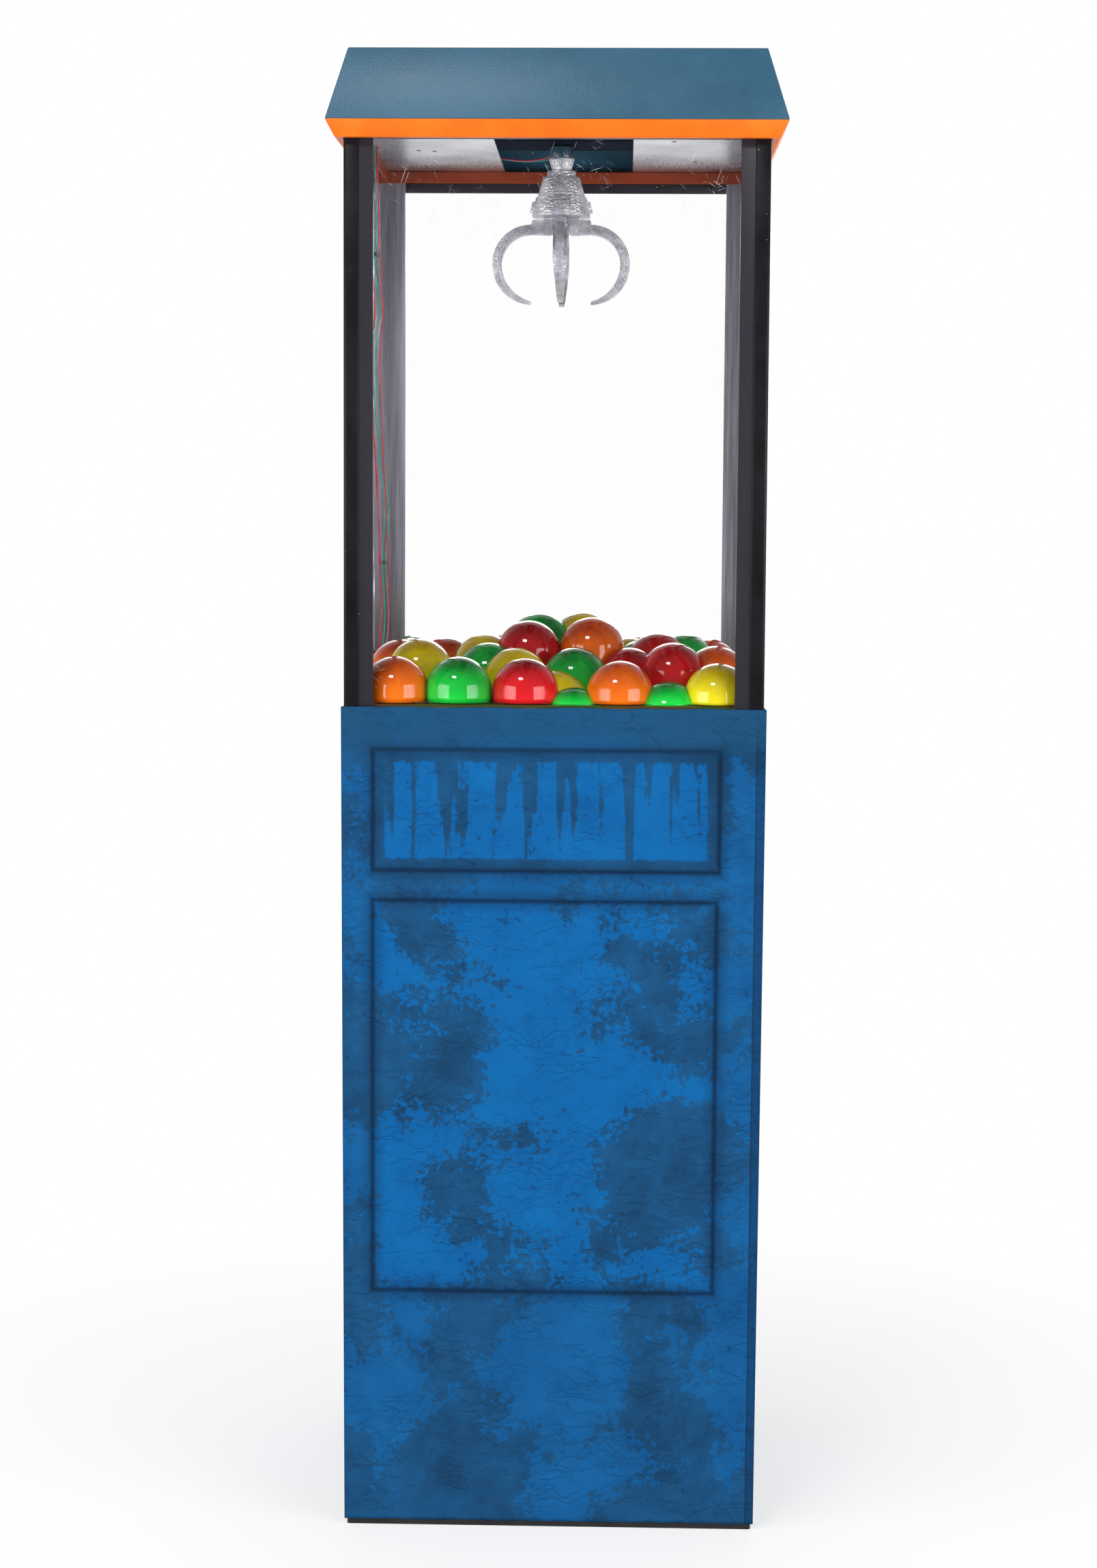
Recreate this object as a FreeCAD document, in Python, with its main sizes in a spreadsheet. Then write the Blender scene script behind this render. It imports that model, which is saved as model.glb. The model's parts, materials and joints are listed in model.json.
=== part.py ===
import FreeCAD, Part
import math
import os

import Sketcher
from FreeCAD import Placement, Rotation, Vector

# A free-standing claw machine prop: a glazed case over a cloth-covered lower cabinet,
# a bed of coloured half balls, and a four-fingered claw that hangs from the roof.
# The front faces -Y, +Z is up, and the origin is on the floor under the middle.

# Driving sizes, in millimetres

SIZES = {
    # Lower cabinet
    "case_width": 430,
    "case_depth": 430,
    "base_inset": 3,
    "base_height": 14,
    "base_round": 3,
    "leg_width": 30,
    "leg_wall": 2.5,
    "deck_height": 861,
    "deck_thickness": 18,
    # Cloth cover
    "cloth_thickness": 2,
    "cloth_gap": 1,
    "cloth_lift": 6,
    "cloth_rise": 1,
    "cloth_belly": 2.5,
    "seam_fit": 0.2,
    "strip_length": 29,
    "strip_height": 13,
    "strip_spacing": 140,
    "strip_drop": 1,
    "strip_fit": 0.1,
    # Glazed case
    "post_width": 30,
    "post_thickness": 8,
    "post_band": 15,
    "post_step": 2,
    "post_round": 3,
    "frame_height": 577,
    "rail_height": 11,
    "front_rail_height": 4,
    "pane_thickness": 3,
    "pane_seat": 6,
    "pane_fit": 0.2,
    "pane_top_gap": 2,
    # Ball bed
    "tray_thickness": 3,
    "tray_margin": 0.5,
    "ball_radius": 34.5,
    "ball_gap": 0.2,
    # Roof
    "trim_drop": 4,
    "trim_height": 17,
    "trim_reach": 8,
    "eave_reach": 17,
    "trim_fit": 0.3,
    "trim_ledge": 11,
    "roof_height": 73,
    "roof_inset": 21.5,
    "roof_wall": 3,
    "ceiling_thickness": 3,
    "ceiling_margin": 6,
    "gap_left": 70,
    "gap_right": 77,
    # Claw drive
    "plate_thickness": 3,
    "plate_depth": 80,
    "plate_lap": 25,
    "gearbox_width": 37,
    "gearbox_height": 24,
    "can_radius": 17,
    "can_height": 30,
    "tab_length": 6,
    "tab_width": 4,
    "tab_thickness": 1,
    "shaft_radius": 3,
    "shaft_room": 0.5,
    "shaft_depth": 16,
    "running_fit": 0.05,
    # Claw
    "stem_radius": 13,
    "stem_length": 12.5,
    "stem_gap": 1.5,
    "stem_grip": 9,
    "neck_height": 13,
    "neck_top_radius": 14,
    "neck_waist_radius": 10,
    "flange_radius": 15.5,
    "flange_height": 7,
    "bell_height": 42,
    "bell_top_radius": 21.5,
    "bell_rim_radius": 33.5,
    "channel_width": 27,
    "channel_depth": 2,
    "lug_width": 16,
    "lug_height": 11,
    "lug_lift": 5,
    "lug_reach": 2,
    "lug_cap_width": 11,
    "lug_cap_height": 5,
    "spigot_half": 5,
    "spigot_height": 8,
    "tongue_thickness": 4,
    "tongue_reach": 6,
    "pivot_offset": 13,
    "pivot_drop": 11.2,
    "pin_radius": 2,
    "pin_end_radius": 1.4,
    "nut_width": 7,
    "nut_thickness": 2,
    "fork_fit": 0.2,
    "fork_room": 1.6,
    "knuckle_radius": 8,
    "finger_thickness": 9,
    "shoulder_reach": 18.3,
    "shoulder_rise": 8.3,
    "hook_radius": 42,
    "hook_width": 10.5,
    "hook_offset": 19.4,
    "hook_drop": 38.8,
    "tip_drop": 43.2,
    "tip_width": 4,
    "tip_round": 2.8,
    "tip_thickness": 6,
    "rim_thickness": 15,
    "rim_width": 5,
    # Battery box
    "cell_width": 14.5,
    "cell_length": 50.5,
    "cell_room": 0.5,
    "box_wall": 2,
    "box_inset_x": 79,
    "box_inset_y": 80,
    "switch_room": 4,
    "switch_travel": 4,
    "switch_width": 4,
    "switch_fit": 0.2,
    "switch_height": 3,
    # Wires
    "wire_radius": 0.8,
    "wire_hole_radius": 5,
    "wire_hole_inset": 7,
    "ceiling_hole_inset": 3.3,
    "ceiling_hole_y": -9,
    "clip_width": 10,
    "clip_height": 4,
    "clip_thickness": 1.2,
}

CELL_COUNT = 3
FINGER_COUNT = 4
CLOTH_STEPS = 4
CLOTH_COLUMNS = 4
BALL_SIDES = 8
BALL_RINGS = 3
SLIVER_SHARE = 0.01
WIRE_SIDES = 3
BEND_SHARE = 9 / 20
PINCH_LIMIT = 0.04
LEAST_CUT = 0.01
LEAST_EDGE = 1
UPRIGHT_SHARE = 0.001

# Each half ball: colour, place across and along the free room of the tray (-1 to 1),
# and lift of its centre above the tray
BALLS = [
    ("orange", -0.98, -0.99, 13),
    ("green", -0.59, -0.99, 13),
    ("red", -0.18, -0.99, 12),
    ("green", 0.12, -0.99, -18),
    ("orange", 0.40, -0.99, 10),
    ("green", 0.70, -0.99, -11),
    ("yellow", 1.00, -0.99, 8),
    ("orange", -0.98, -0.50, 27),
    ("yellow", -0.85, -0.68, 29),
    ("yellow", -0.25, -0.65, 20),
    ("green", 0.12, -0.68, 21),
    ("yellow", 0.01, -0.83, -2),
    ("red", 0.46, -0.53, 20),
    ("red", 0.73, -0.71, 27),
    ("orange", 1.00, -0.59, 23),
    ("green", -0.43, -0.47, 24),
    ("yellow", -0.46, -0.30, 32),
    ("red", -0.18, -0.36, 47),
    ("orange", 0.22, -0.36, 51),
    ("green", -0.12, 0.00, 53),
    ("yellow", 0.16, 0.12, 54),
    ("red", 0.64, -0.24, 34),
    ("green", 0.81, -0.12, 32),
    ("green", 0.54, -0.12, 25),
    ("yellow", 0.46, 0.00, 27),
    ("red", -0.98, -0.25, 25),
    ("orange", -0.72, -0.05, 26),
    ("yellow", -0.98, 0.10, 24),
    ("green", -0.98, 0.47, 24),
    ("red", -0.66, 0.36, 16),
    ("yellow", -0.30, 0.40, 30),
    ("red", 0.52, 0.40, 26),
    ("orange", 0.98, 0.28, 24),
    ("orange", -0.70, 0.76, 18),
    ("green", -0.36, 0.74, 18),
    ("orange", 0.02, 0.62, 22),
    ("green", 0.36, 0.72, 18),
    ("yellow", 0.76, 0.66, 20),
    ("red", -0.98, 0.99, 13),
    ("yellow", -0.50, 0.99, 12),
    ("red", -0.14, 0.99, 13),
    ("yellow", 0.22, 0.99, 12),
    ("red", 0.60, 0.99, 13),
    ("green", 1.00, 0.99, 12),
]

doc = FreeCAD.newDocument("claw_machine")
sheet = doc.addObject("Spreadsheet::Sheet", "Sizes")
parts = []


class Size:
    """A number that remembers the sheet expression that it comes from."""

    def __init__(self, value, text):
        self.value = float(value)
        self.text = text

    def __add__(self, other):
        other = as_size(other)
        return Size(self.value + other.value, f"({self.text} + {other.text})")

    def __sub__(self, other):
        other = as_size(other)
        return Size(self.value - other.value, f"({self.text} - {other.text})")

    def __mul__(self, other):
        other = as_size(other)
        return Size(self.value * other.value, f"({self.text} * {other.text})")

    def __truediv__(self, other):
        other = as_size(other)
        return Size(self.value / other.value, f"({self.text} / {other.text})")

    def __neg__(self):
        return self * -1

    def __radd__(self, other):
        return as_size(other) + self

    def __rsub__(self, other):
        return as_size(other) - self

    def __rmul__(self, other):
        return as_size(other) * self


def as_size(number):
    if isinstance(number, Size):
        return number
    return Size(number, f"({number})")


class SizeTable:
    """Gives each sheet cell as a Size under its alias."""

    def __init__(self, values):
        for row, (alias, value) in enumerate(values.items(), 1):
            sheet.set(f"A{row}", alias)
            sheet.set(f"B{row}", str(value))
            sheet.setAlias(f"B{row}", alias)
            setattr(self, alias, Size(value, f"Sizes.{alias}"))
        doc.recompute()


s = SizeTable(SIZES)

# Levels and half widths that several pieces share

half_width = s.case_width / 2
half_depth = s.case_depth / 2
base_half_width = half_width - s.base_inset
base_half_depth = half_depth - s.base_inset
deck_bottom = s.deck_height - s.deck_thickness
frame_top = s.deck_height + s.frame_height
pane_outer_x = half_width - s.post_thickness
pane_outer_y = half_depth - s.post_thickness
pane_inner_x = pane_outer_x - s.pane_thickness
pane_inner_y = pane_outer_y - s.pane_thickness
tray_half_width = pane_inner_x - s.tray_margin
tray_half_depth = pane_inner_y - s.tray_margin
tray_top = s.deck_height + s.tray_thickness
box_middle_x = s.box_inset_x - pane_inner_x
box_middle_y = pane_inner_y - s.box_inset_y
wire_hole_x = s.wire_hole_inset - pane_inner_x
ceiling_hole_x = s.ceiling_hole_inset - pane_inner_x
trim_bottom = frame_top - s.trim_drop
eave_level = trim_bottom + s.trim_height
eave_half_width = half_width + s.eave_reach
eave_half_depth = half_depth + s.eave_reach
ceiling_top = eave_level + s.ceiling_thickness
plate_top = ceiling_top + s.plate_thickness
gearbox_top = plate_top + s.gearbox_height
stem_top = ceiling_top - s.stem_gap
stem_bottom = stem_top - s.stem_length
flange_top = stem_bottom - s.neck_height
bell_top = flange_top - s.flange_height
bell_rim = bell_top - s.bell_height
pivot_level = bell_rim - s.pivot_drop


# Building blocks

def keep(item, label):
    item.Label = label
    parts.append(item)
    return item


def bind(item, prop, size):
    item.setExpression(prop, as_size(size).text)


def box(label, x_range, y_range, z_range):
    """A plain board between two values on each axis."""
    item = doc.addObject("Part::Box", label)
    for prop, axis, (low, high) in zip(
        ("Length", "Width", "Height"), "xyz", (x_range, y_range, z_range)
    ):
        bind(item, prop, as_size(high) - low)
        bind(item, f"Placement.Base.{axis}", low)
    return keep(item, label)


def solid_node(label, shapes):
    """One node made of several separate solids, or of one that no feature can make."""
    item = doc.addObject("Part::Feature", label)
    item.Shape = shapes[0] if len(shapes) == 1 else Part.makeCompound(shapes)
    return keep(item, label)


def new_body(label):
    return keep(doc.addObject("PartDesign::Body", label), label)


def origin_feature(body, role):
    return next(item for item in body.Origin.OriginFeatures if item.Role == role)


def new_sketch(body, plane, level=0):
    """A sketch on one of the body's own planes, moved along the plane's normal."""
    sketch = body.newObject("Sketcher::SketchObject", "Sketch")
    sketch.AttachmentSupport = [(origin_feature(body, plane), "")]
    sketch.MapMode = "FlatFace"
    bind(sketch, "AttachmentOffset.Base.z", level)
    return sketch


def draw_outline(sketch, corners):
    """Draw a closed outline through corners (x, y) or (x, y, radius, side).

    A corner with a radius starts an arc of that radius to the next corner. Its side is 1
    where the arc's centre lies on the left of that way and -1 where it lies on the right.
    """
    corners = [tuple(as_size(part) for part in corner) for corner in corners]
    ends = []
    for index, corner in enumerate(corners):
        start = Vector(corner[0].value, corner[1].value, 0)
        following = corners[(index + 1) % len(corners)]
        end = Vector(following[0].value, following[1].value, 0)
        if len(corner) == 2:
            geometry = sketch.addGeometry(Part.LineSegment(start, end), False)
            ends.append((geometry, 1, 2))
            continue
        radius = corner[2].value
        side = 1 if corner[3].value > 0 else -1
        chord = end - start
        rise = math.sqrt(max(radius ** 2 - (chord.Length / 2) ** 2, 0))
        across = Vector(-chord.y, chord.x, 0).normalize()
        center = start + chord / 2 + across * (rise * side)
        first, last = (start, end) if side > 0 else (end, start)
        first_angle = math.atan2(first.y - center.y, first.x - center.x)
        last_angle = math.atan2(last.y - center.y, last.x - center.x)
        circle = Part.Circle(center, Vector(0, 0, 1), radius)
        geometry = sketch.addGeometry(Part.ArcOfCircle(circle, first_angle, last_angle), False)
        ends.append((geometry, 1, 2) if side > 0 else (geometry, 2, 1))
    for index, (geometry, start, end) in enumerate(ends):
        following, following_start, _ = ends[(index + 1) % len(ends)]
        sketch.addConstraint(
            Sketcher.Constraint("Coincident", geometry, end, following, following_start)
        )
        for kind, size in zip(("DistanceX", "DistanceY"), corners[index]):
            place_point(sketch, kind, geometry, start, size)
        if len(corners[index]) > 2:
            radius = corners[index][2]
            number = sketch.addConstraint(Sketcher.Constraint("Radius", geometry, radius.value))
            bind(sketch, f"Constraints[{number}]", radius)


def place_point(sketch, kind, geometry, point, size):
    number = sketch.addConstraint(
        Sketcher.Constraint(kind, -1, 1, geometry, point, size.value)
    )
    bind(sketch, f"Constraints[{number}]", size)


def draw_rectangle(sketch, x_range, y_range):
    (left, right), (low, high) = x_range, y_range
    draw_outline(sketch, [(left, low), (right, low), (right, high), (left, high)])


def draw_circle(sketch, x, y, radius):
    x, y, radius = as_size(x), as_size(y), as_size(radius)
    circle = Part.Circle(Vector(x.value, y.value, 0), Vector(0, 0, 1), radius.value)
    geometry = sketch.addGeometry(circle, False)
    place_point(sketch, "DistanceX", geometry, 3, x)
    place_point(sketch, "DistanceY", geometry, 3, y)
    number = sketch.addConstraint(Sketcher.Constraint("Radius", geometry, radius.value))
    bind(sketch, f"Constraints[{number}]", radius)


def pad(body, sketch, length, symmetric=False, reverse=False):
    feature = body.newObject("PartDesign::Pad", "Pad")
    feature.Profile = sketch
    feature.SideType = "Symmetric" if symmetric else "One side"
    feature.Reversed = reverse
    bind(feature, "Length", length)
    doc.recompute()
    return feature


def pocket(body, sketch, length=None, symmetric=False, reverse=False):
    """Cut the sketch away, and stop if the cut missed the solid."""
    before = body.Shape.Volume
    feature = body.newObject("PartDesign::Pocket", "Pocket")
    feature.Profile = sketch
    feature.SideType = "Symmetric" if symmetric else "One side"
    feature.Reversed = reverse
    if length is None:
        feature.Type = "ThroughAll"
    else:
        bind(feature, "Length", length)
    doc.recompute()
    if body.Shape.Volume > before - LEAST_CUT:
        raise RuntimeError(f"a cut in {body.Label} removes nothing")
    return feature


def revolve(body, sketch):
    """Turn a sketch of the XZ plane once round the Z axis."""
    feature = body.newObject("PartDesign::Revolution", "Revolution")
    feature.Profile = sketch
    feature.ReferenceAxis = (sketch, ["V_Axis"])
    feature.Angle = 360
    doc.recompute()
    return feature


def repeat_round(body, features, count):
    """Repeat features evenly round the Z axis."""
    pattern = body.newObject("PartDesign::PolarPattern", "PolarPattern")
    pattern.Originals = features
    pattern.Axis = (origin_feature(body, "Z_Axis"), [""])
    pattern.Angle = 360
    pattern.Occurrences = count
    body.Tip = pattern
    doc.recompute()
    return pattern


def fillet_edges(body, base, radius, wanted):
    """Round the edges of a feature that the test picks out."""
    names = [f"Edge{n}" for n, edge in enumerate(base.Shape.Edges, 1) if wanted(edge)]
    feature = body.newObject("PartDesign::Fillet", "Fillet")
    feature.Base = (base, names)
    bind(feature, "Radius", radius)
    doc.recompute()
    return feature


def is_upright(edge):
    box_of_edge = edge.BoundBox
    sideways = math.hypot(box_of_edge.XLength, box_of_edge.YLength)
    return box_of_edge.ZLength > LEAST_EDGE and sideways < UPRIGHT_SHARE * box_of_edge.ZLength


def corner_signs():
    """Name and X and Y sign of each corner of the case."""
    for row, sign_y in (("front", -1), ("rear", 1)):
        for side, sign_x in (("left", -1), ("right", 1)):
            yield f"{row}_{side}", sign_x, sign_y


def span(sign, inner, outer):
    """The range from inner to outer on the side of the middle that sign gives, in order."""
    return (inner, outer) if sign > 0 else (-outer, -inner)


# Lower cabinet

def make_base_board():
    body = new_body("base_board")
    sketch = new_sketch(body, "XY_Plane")
    draw_rectangle(sketch, (-base_half_width, base_half_width), (-base_half_depth, base_half_depth))
    board = pad(body, sketch, s.base_height)
    fillet_edges(body, board, s.base_round, is_upright)


def make_legs():
    for name, sign_x, sign_y in corner_signs():
        body = new_body(f"{name}_leg")
        sketch = new_sketch(body, "XY_Plane", s.base_height)
        for inset in (0, s.leg_wall):
            across = span(sign_x, base_half_width - s.leg_width + inset, base_half_width - inset)
            along = span(sign_y, base_half_depth - s.leg_width + inset, base_half_depth - inset)
            draw_rectangle(sketch, across, along)
        pad(body, sketch, deck_bottom - s.base_height)


def make_deck_board():
    body = new_body("deck_board")
    sketch = new_sketch(body, "XY_Plane", deck_bottom)
    draw_rectangle(sketch, (-half_width, half_width), (-half_depth, half_depth))
    draw_circle(sketch, wire_hole_x, box_middle_y, s.wire_hole_radius)
    pad(body, sketch, s.deck_thickness)
    groove = new_sketch(body, "XY_Plane", s.deck_height)
    for edge_x, edge_y, room in (
        (pane_outer_x, pane_outer_y, s.pane_fit),
        (pane_inner_x, pane_inner_y, -s.pane_fit),
    ):
        draw_rectangle(groove, (-edge_x - room, edge_x + room), (-edge_y - room, edge_y + room))
    pocket(body, groove, s.pane_seat + s.pane_fit)


def make_sleeve():
    """Four cloth panels that narrow to the hem, belly a little and meet at the corner seams."""
    low, high = s.cloth_lift, s.deck_height + s.cloth_rise
    height = high - low
    top_width = half_width + s.cloth_gap
    top_depth = half_depth + s.cloth_gap
    for name, turn, half_across, distance, lap in (
        ("front", 0, top_width, top_depth, s.cloth_thickness),
        ("right", 90, top_depth, top_width, -s.seam_fit),
        ("rear", 180, top_width, top_depth, s.cloth_thickness),
        ("left", 270, top_depth, top_width, -s.seam_fit),
    ):
        body = new_body(f"sleeve_{name}")
        sections = []
        for step in range(CLOTH_STEPS + 1):
            up = step / CLOTH_STEPS
            drawn_in = s.base_inset * (1 - up)
            sketch = new_sketch(body, "XY_Plane", low + height * up)
            face = -distance + drawn_in
            half = half_across + lap - drawn_in
            inner = []
            for column in range(CLOTH_COLUMNS + 1):
                across = column / CLOTH_COLUMNS
                swell = s.cloth_belly * (math.sin(math.pi * up) * math.sin(math.pi * across))
                inner.append((half * (2 * across - 1), face - swell))
            outer = [(x, y - s.cloth_thickness) for x, y in reversed(inner)]
            draw_outline(sketch, inner + outer)
            sections.append(sketch)
        loft = body.newObject("PartDesign::AdditiveLoft", "Loft")
        loft.Profile = sections[0]
        loft.Sections = sections[1:]
        loft.Ruled = True
        doc.recompute()
        body.Placement = Placement(Vector(), Rotation(Vector(0, 0, 1), turn))


def make_hook_strips():
    """Two strips on each edge of the deck board, which the cloth hangs on."""
    top = (s.deck_height - s.strip_drop).value
    strips = []
    for turn, distance in ((0, half_depth), (90, half_width), (180, half_depth), (270, half_width)):
        for side in (-1, 1):
            strip = Part.makeBox(
                s.strip_length.value, s.cloth_gap.value - strip_clearance(), s.strip_height.value
            )
            strip.translate(Vector(
                side * s.strip_spacing.value / 2 - s.strip_length.value / 2,
                -distance.value - s.cloth_gap.value + strip_clearance(),
                top - s.strip_height.value,
            ))
            strip.rotate(Vector(), Vector(0, 0, 1), turn)
            strips.append(strip)
    solid_node("hook_strips", strips)


def strip_clearance():
    """How far the leaning cloth comes in at the foot of a strip."""
    height = (s.deck_height + s.cloth_rise - s.cloth_lift).value
    reach = (s.cloth_rise + s.strip_drop + s.strip_height).value
    return s.base_inset.value * reach / height + s.strip_fit.value


make_base_board()
make_legs()
make_deck_board()
make_sleeve()
make_hook_strips()

# Battery box under the deck

box_inner_length = s.cell_length + s.cell_room * 2
box_inner_width = s.cell_width * CELL_COUNT + s.cell_room * 2 + s.switch_room
box_inner_height = s.cell_width + s.cell_room
box_left = box_middle_x - box_inner_length / 2 - s.box_wall
box_right = box_middle_x + box_inner_length / 2 + s.box_wall
box_front = box_middle_y - box_inner_width / 2 - s.box_wall
box_rear = box_middle_y + box_inner_width / 2 + s.box_wall
box_mouth = deck_bottom - s.box_wall - box_inner_height
switch_level = box_mouth + box_inner_height / 2


def make_battery_box():
    body = new_body("battery_box")
    sketch = new_sketch(body, "XY_Plane", box_mouth)
    draw_rectangle(sketch, (box_left, box_right), (box_front, box_rear))
    pad(body, sketch, deck_bottom - box_mouth)
    hollow = new_sketch(body, "XY_Plane", box_mouth)
    draw_rectangle(
        hollow,
        (box_left + s.box_wall, box_right - s.box_wall),
        (box_front + s.box_wall, box_rear - s.box_wall),
    )
    pocket(body, hollow, box_inner_height, reverse=True)
    slot = new_sketch(body, "XZ_Plane", -box_rear)
    middle = box_middle_x
    half_slot = (s.switch_width + s.switch_travel) / 2 + s.switch_fit
    draw_rectangle(
        slot,
        (middle - half_slot, middle + half_slot),
        (switch_level - s.switch_width / 2 - s.switch_fit, switch_level + s.switch_width / 2 + s.switch_fit),
    )
    pocket(body, slot, s.box_wall * 2, symmetric=True)


def make_battery_lid():
    box("battery_lid", (box_left, box_right), (box_front, box_rear), (box_mouth - s.box_wall, box_mouth))


def make_switch():
    """A slider with a plate behind the wall that keeps it in its slot."""
    body = new_body("power_switch")
    start = box_middle_x - s.switch_travel / 2
    half = s.switch_width / 2
    inner_wall = box_rear - s.box_wall
    stem = new_sketch(body, "XZ_Plane", -inner_wall + s.switch_fit)
    draw_rectangle(stem, (start - half, start + half), (switch_level - half, switch_level + half))
    pad(body, stem, s.box_wall + s.switch_height + s.switch_fit, reverse=True)
    plate = new_sketch(body, "XZ_Plane", -inner_wall + s.switch_fit)
    reach = half + s.switch_travel
    draw_rectangle(
        plate, (start - reach, start + reach), (switch_level - s.switch_width, switch_level + s.switch_width)
    )
    pad(body, plate, s.switch_room / 4)


make_battery_box()
make_battery_lid()
make_switch()

# Glazed case

def make_posts():
    """Corner angles with a proud outer band and a lower inner band on both faces."""
    for name, sign_x, sign_y in corner_signs():
        body = new_body(f"{name}_post")
        sketch = new_sketch(body, "XY_Plane", s.deck_height)
        profile = [
            (s.post_round, 0),
            (s.post_band, 0),
            (s.post_band, s.post_step),
            (s.post_width, s.post_step),
            (s.post_width, s.post_thickness),
            (s.post_thickness, s.post_thickness),
            (s.post_thickness, s.post_width),
            (s.post_step, s.post_width),
            (s.post_step, s.post_band),
            (0, s.post_band),
            (0, s.post_round, s.post_round, 1),
        ]
        corners = []
        for across, along, *arc in profile:
            corner = [sign_x * (half_width - across), sign_y * (half_depth - along)]
            if arc:
                corner += [arc[0], sign_x * sign_y * arc[1]]
            corners.append(corner)
        draw_outline(sketch, corners)
        pad(body, sketch, s.frame_height)


def make_rails_and_windows():
    rail_span = (frame_top - s.rail_height, frame_top)
    pane_span = (s.deck_height - s.pane_seat, frame_top - s.pane_top_gap)
    rail_half_width = half_width - s.post_width
    rail_half_depth = half_depth - s.post_width
    front_half = pane_outer_x - s.pane_fit
    side_half = pane_inner_y - s.pane_fit
    for name, sign, height in (("front", -1, s.front_rail_height), ("rear", 1, s.rail_height)):
        along = span(sign, pane_outer_y, half_depth - s.post_step)
        box(f"{name}_rail", (-rail_half_width, rail_half_width), along, (frame_top - height, frame_top))
        along = span(sign, pane_inner_y, pane_outer_y)
        box(f"{name}_window", (-front_half, front_half), along, pane_span)
    for name, sign in (("left", -1), ("right", 1)):
        across = span(sign, pane_outer_x, half_width - s.post_step)
        box(f"{name}_rail", across, (-rail_half_depth, rail_half_depth), rail_span)
        across = span(sign, pane_inner_x, pane_outer_x)
        box(f"{name}_window", across, (-side_half, side_half), pane_span)


make_posts()
make_rails_and_windows()

# Ball bed

def make_tray():
    body = new_body("ball_tray")
    sketch = new_sketch(body, "XY_Plane", s.deck_height)
    draw_rectangle(sketch, (-tray_half_width, tray_half_width), (-tray_half_depth, tray_half_depth))
    draw_circle(sketch, wire_hole_x, box_middle_y, s.wire_hole_radius)
    pad(body, sketch, s.tray_thickness)


def ball_column(place, radius, turn):
    """A faceted half ball on an upright skirt that stands on the tray."""
    floor = tray_top.value
    sunk = max(floor - place.z, 0)
    start = math.asin(sunk / radius)
    rings = []
    if place.z > floor:
        rings.append((radius, floor))
    for step in range(BALL_RINGS):
        climb = start + (math.pi / 2 - start) * step / BALL_RINGS
        rings.append((radius * math.cos(climb), place.z + radius * math.sin(climb)))
    corners = [
        [
            Vector(place.x + size * math.cos(angle), place.y + size * math.sin(angle), level)
            for angle in (turn + 2 * math.pi * side / BALL_SIDES for side in range(BALL_SIDES))
        ]
        for size, level in rings
    ]
    crown = Vector(place.x, place.y, place.z + radius)
    outlines = [corners[0]]
    for side in range(BALL_SIDES):
        after = (side + 1) % BALL_SIDES
        for low, high in zip(corners, corners[1:]):
            outlines.append([low[side], low[after], high[after], high[side]])
        outlines.append([corners[-1][side], corners[-1][after], crown])
    faces = [Part.Face(Part.makePolygon(outline + outline[:1])) for outline in outlines]
    return Part.makeSolid(Part.makeShell(faces))


def make_balls():
    """Half balls that run into each other: a higher one cuts its lower neighbours away."""
    radius = s.ball_radius.value
    room_x = (tray_half_width - s.ball_radius).value
    room_y = (tray_half_depth - s.ball_radius).value
    places = [
        (colour, Vector(across * room_x, along * room_y, tray_top.value + lift))
        for colour, across, along, lift in BALLS
    ]
    places.sort(key=lambda entry: -entry[1].z)
    least_piece = SLIVER_SHARE * radius ** 3
    groups = {}
    for index, (colour, place) in enumerate(places):
        ball = ball_column(place, radius, index)
        cutters = []
        for other_index, (_, other) in enumerate(places[:index]):
            plan_distance = math.hypot(other.x - place.x, other.y - place.y)
            if plan_distance < 2 * radius + s.ball_gap.value:
                cutters.append(ball_column(other, radius + s.ball_gap.value, other_index))
        if cutters:
            ball = ball.cut(cutters)
        groups.setdefault(colour, []).extend(
            solid for solid in ball.Solids if solid.Volume > least_piece
        )
    for colour, solids in groups.items():
        solid_node(f"{colour}_balls", solids)


make_tray()
make_balls()

# Roof

def frustum(label, low_level, low_half, high_level, high_half):
    """An upright block with a rectangular foot and head, each given by two half widths."""
    block = doc.addObject("Part::Wedge", label)
    for prop, size in (
        ("Xmin", -low_half[0]), ("Xmax", low_half[0]), ("Zmin", -low_half[1]), ("Zmax", low_half[1]),
        ("X2min", -high_half[0]), ("X2max", high_half[0]),
        ("Z2min", -high_half[1]), ("Z2max", high_half[1]),
        ("Ymin", low_level), ("Ymax", high_level),
    ):
        bind(block, prop, size)
    block.Placement.Rotation = Rotation(Vector(1, 0, 0), 90)
    return block


def cut(label, base, tool):
    result = doc.addObject("Part::Cut", label)
    result.Base = base
    result.Tool = tool
    return result


def make_trim():
    """Painted board ring that hangs over the frame, leans out and rests on the rails."""
    foot = (half_width + s.trim_reach, half_depth + s.trim_reach)
    block = frustum("trim_block", trim_bottom, foot, eave_level, (eave_half_width, eave_half_depth))
    seat_half = (half_width + s.trim_fit, half_depth + s.trim_fit)
    below = trim_bottom - s.trim_drop
    seat = frustum("trim_seat", below, seat_half, frame_top, seat_half)
    open_half = (half_width - s.trim_ledge, half_depth - s.trim_ledge)
    opening = frustum("trim_opening", below, open_half, eave_level + s.trim_drop, open_half)
    keep(cut("eave_trim", cut("trim_hood", block, seat), opening), "eave_trim")


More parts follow.
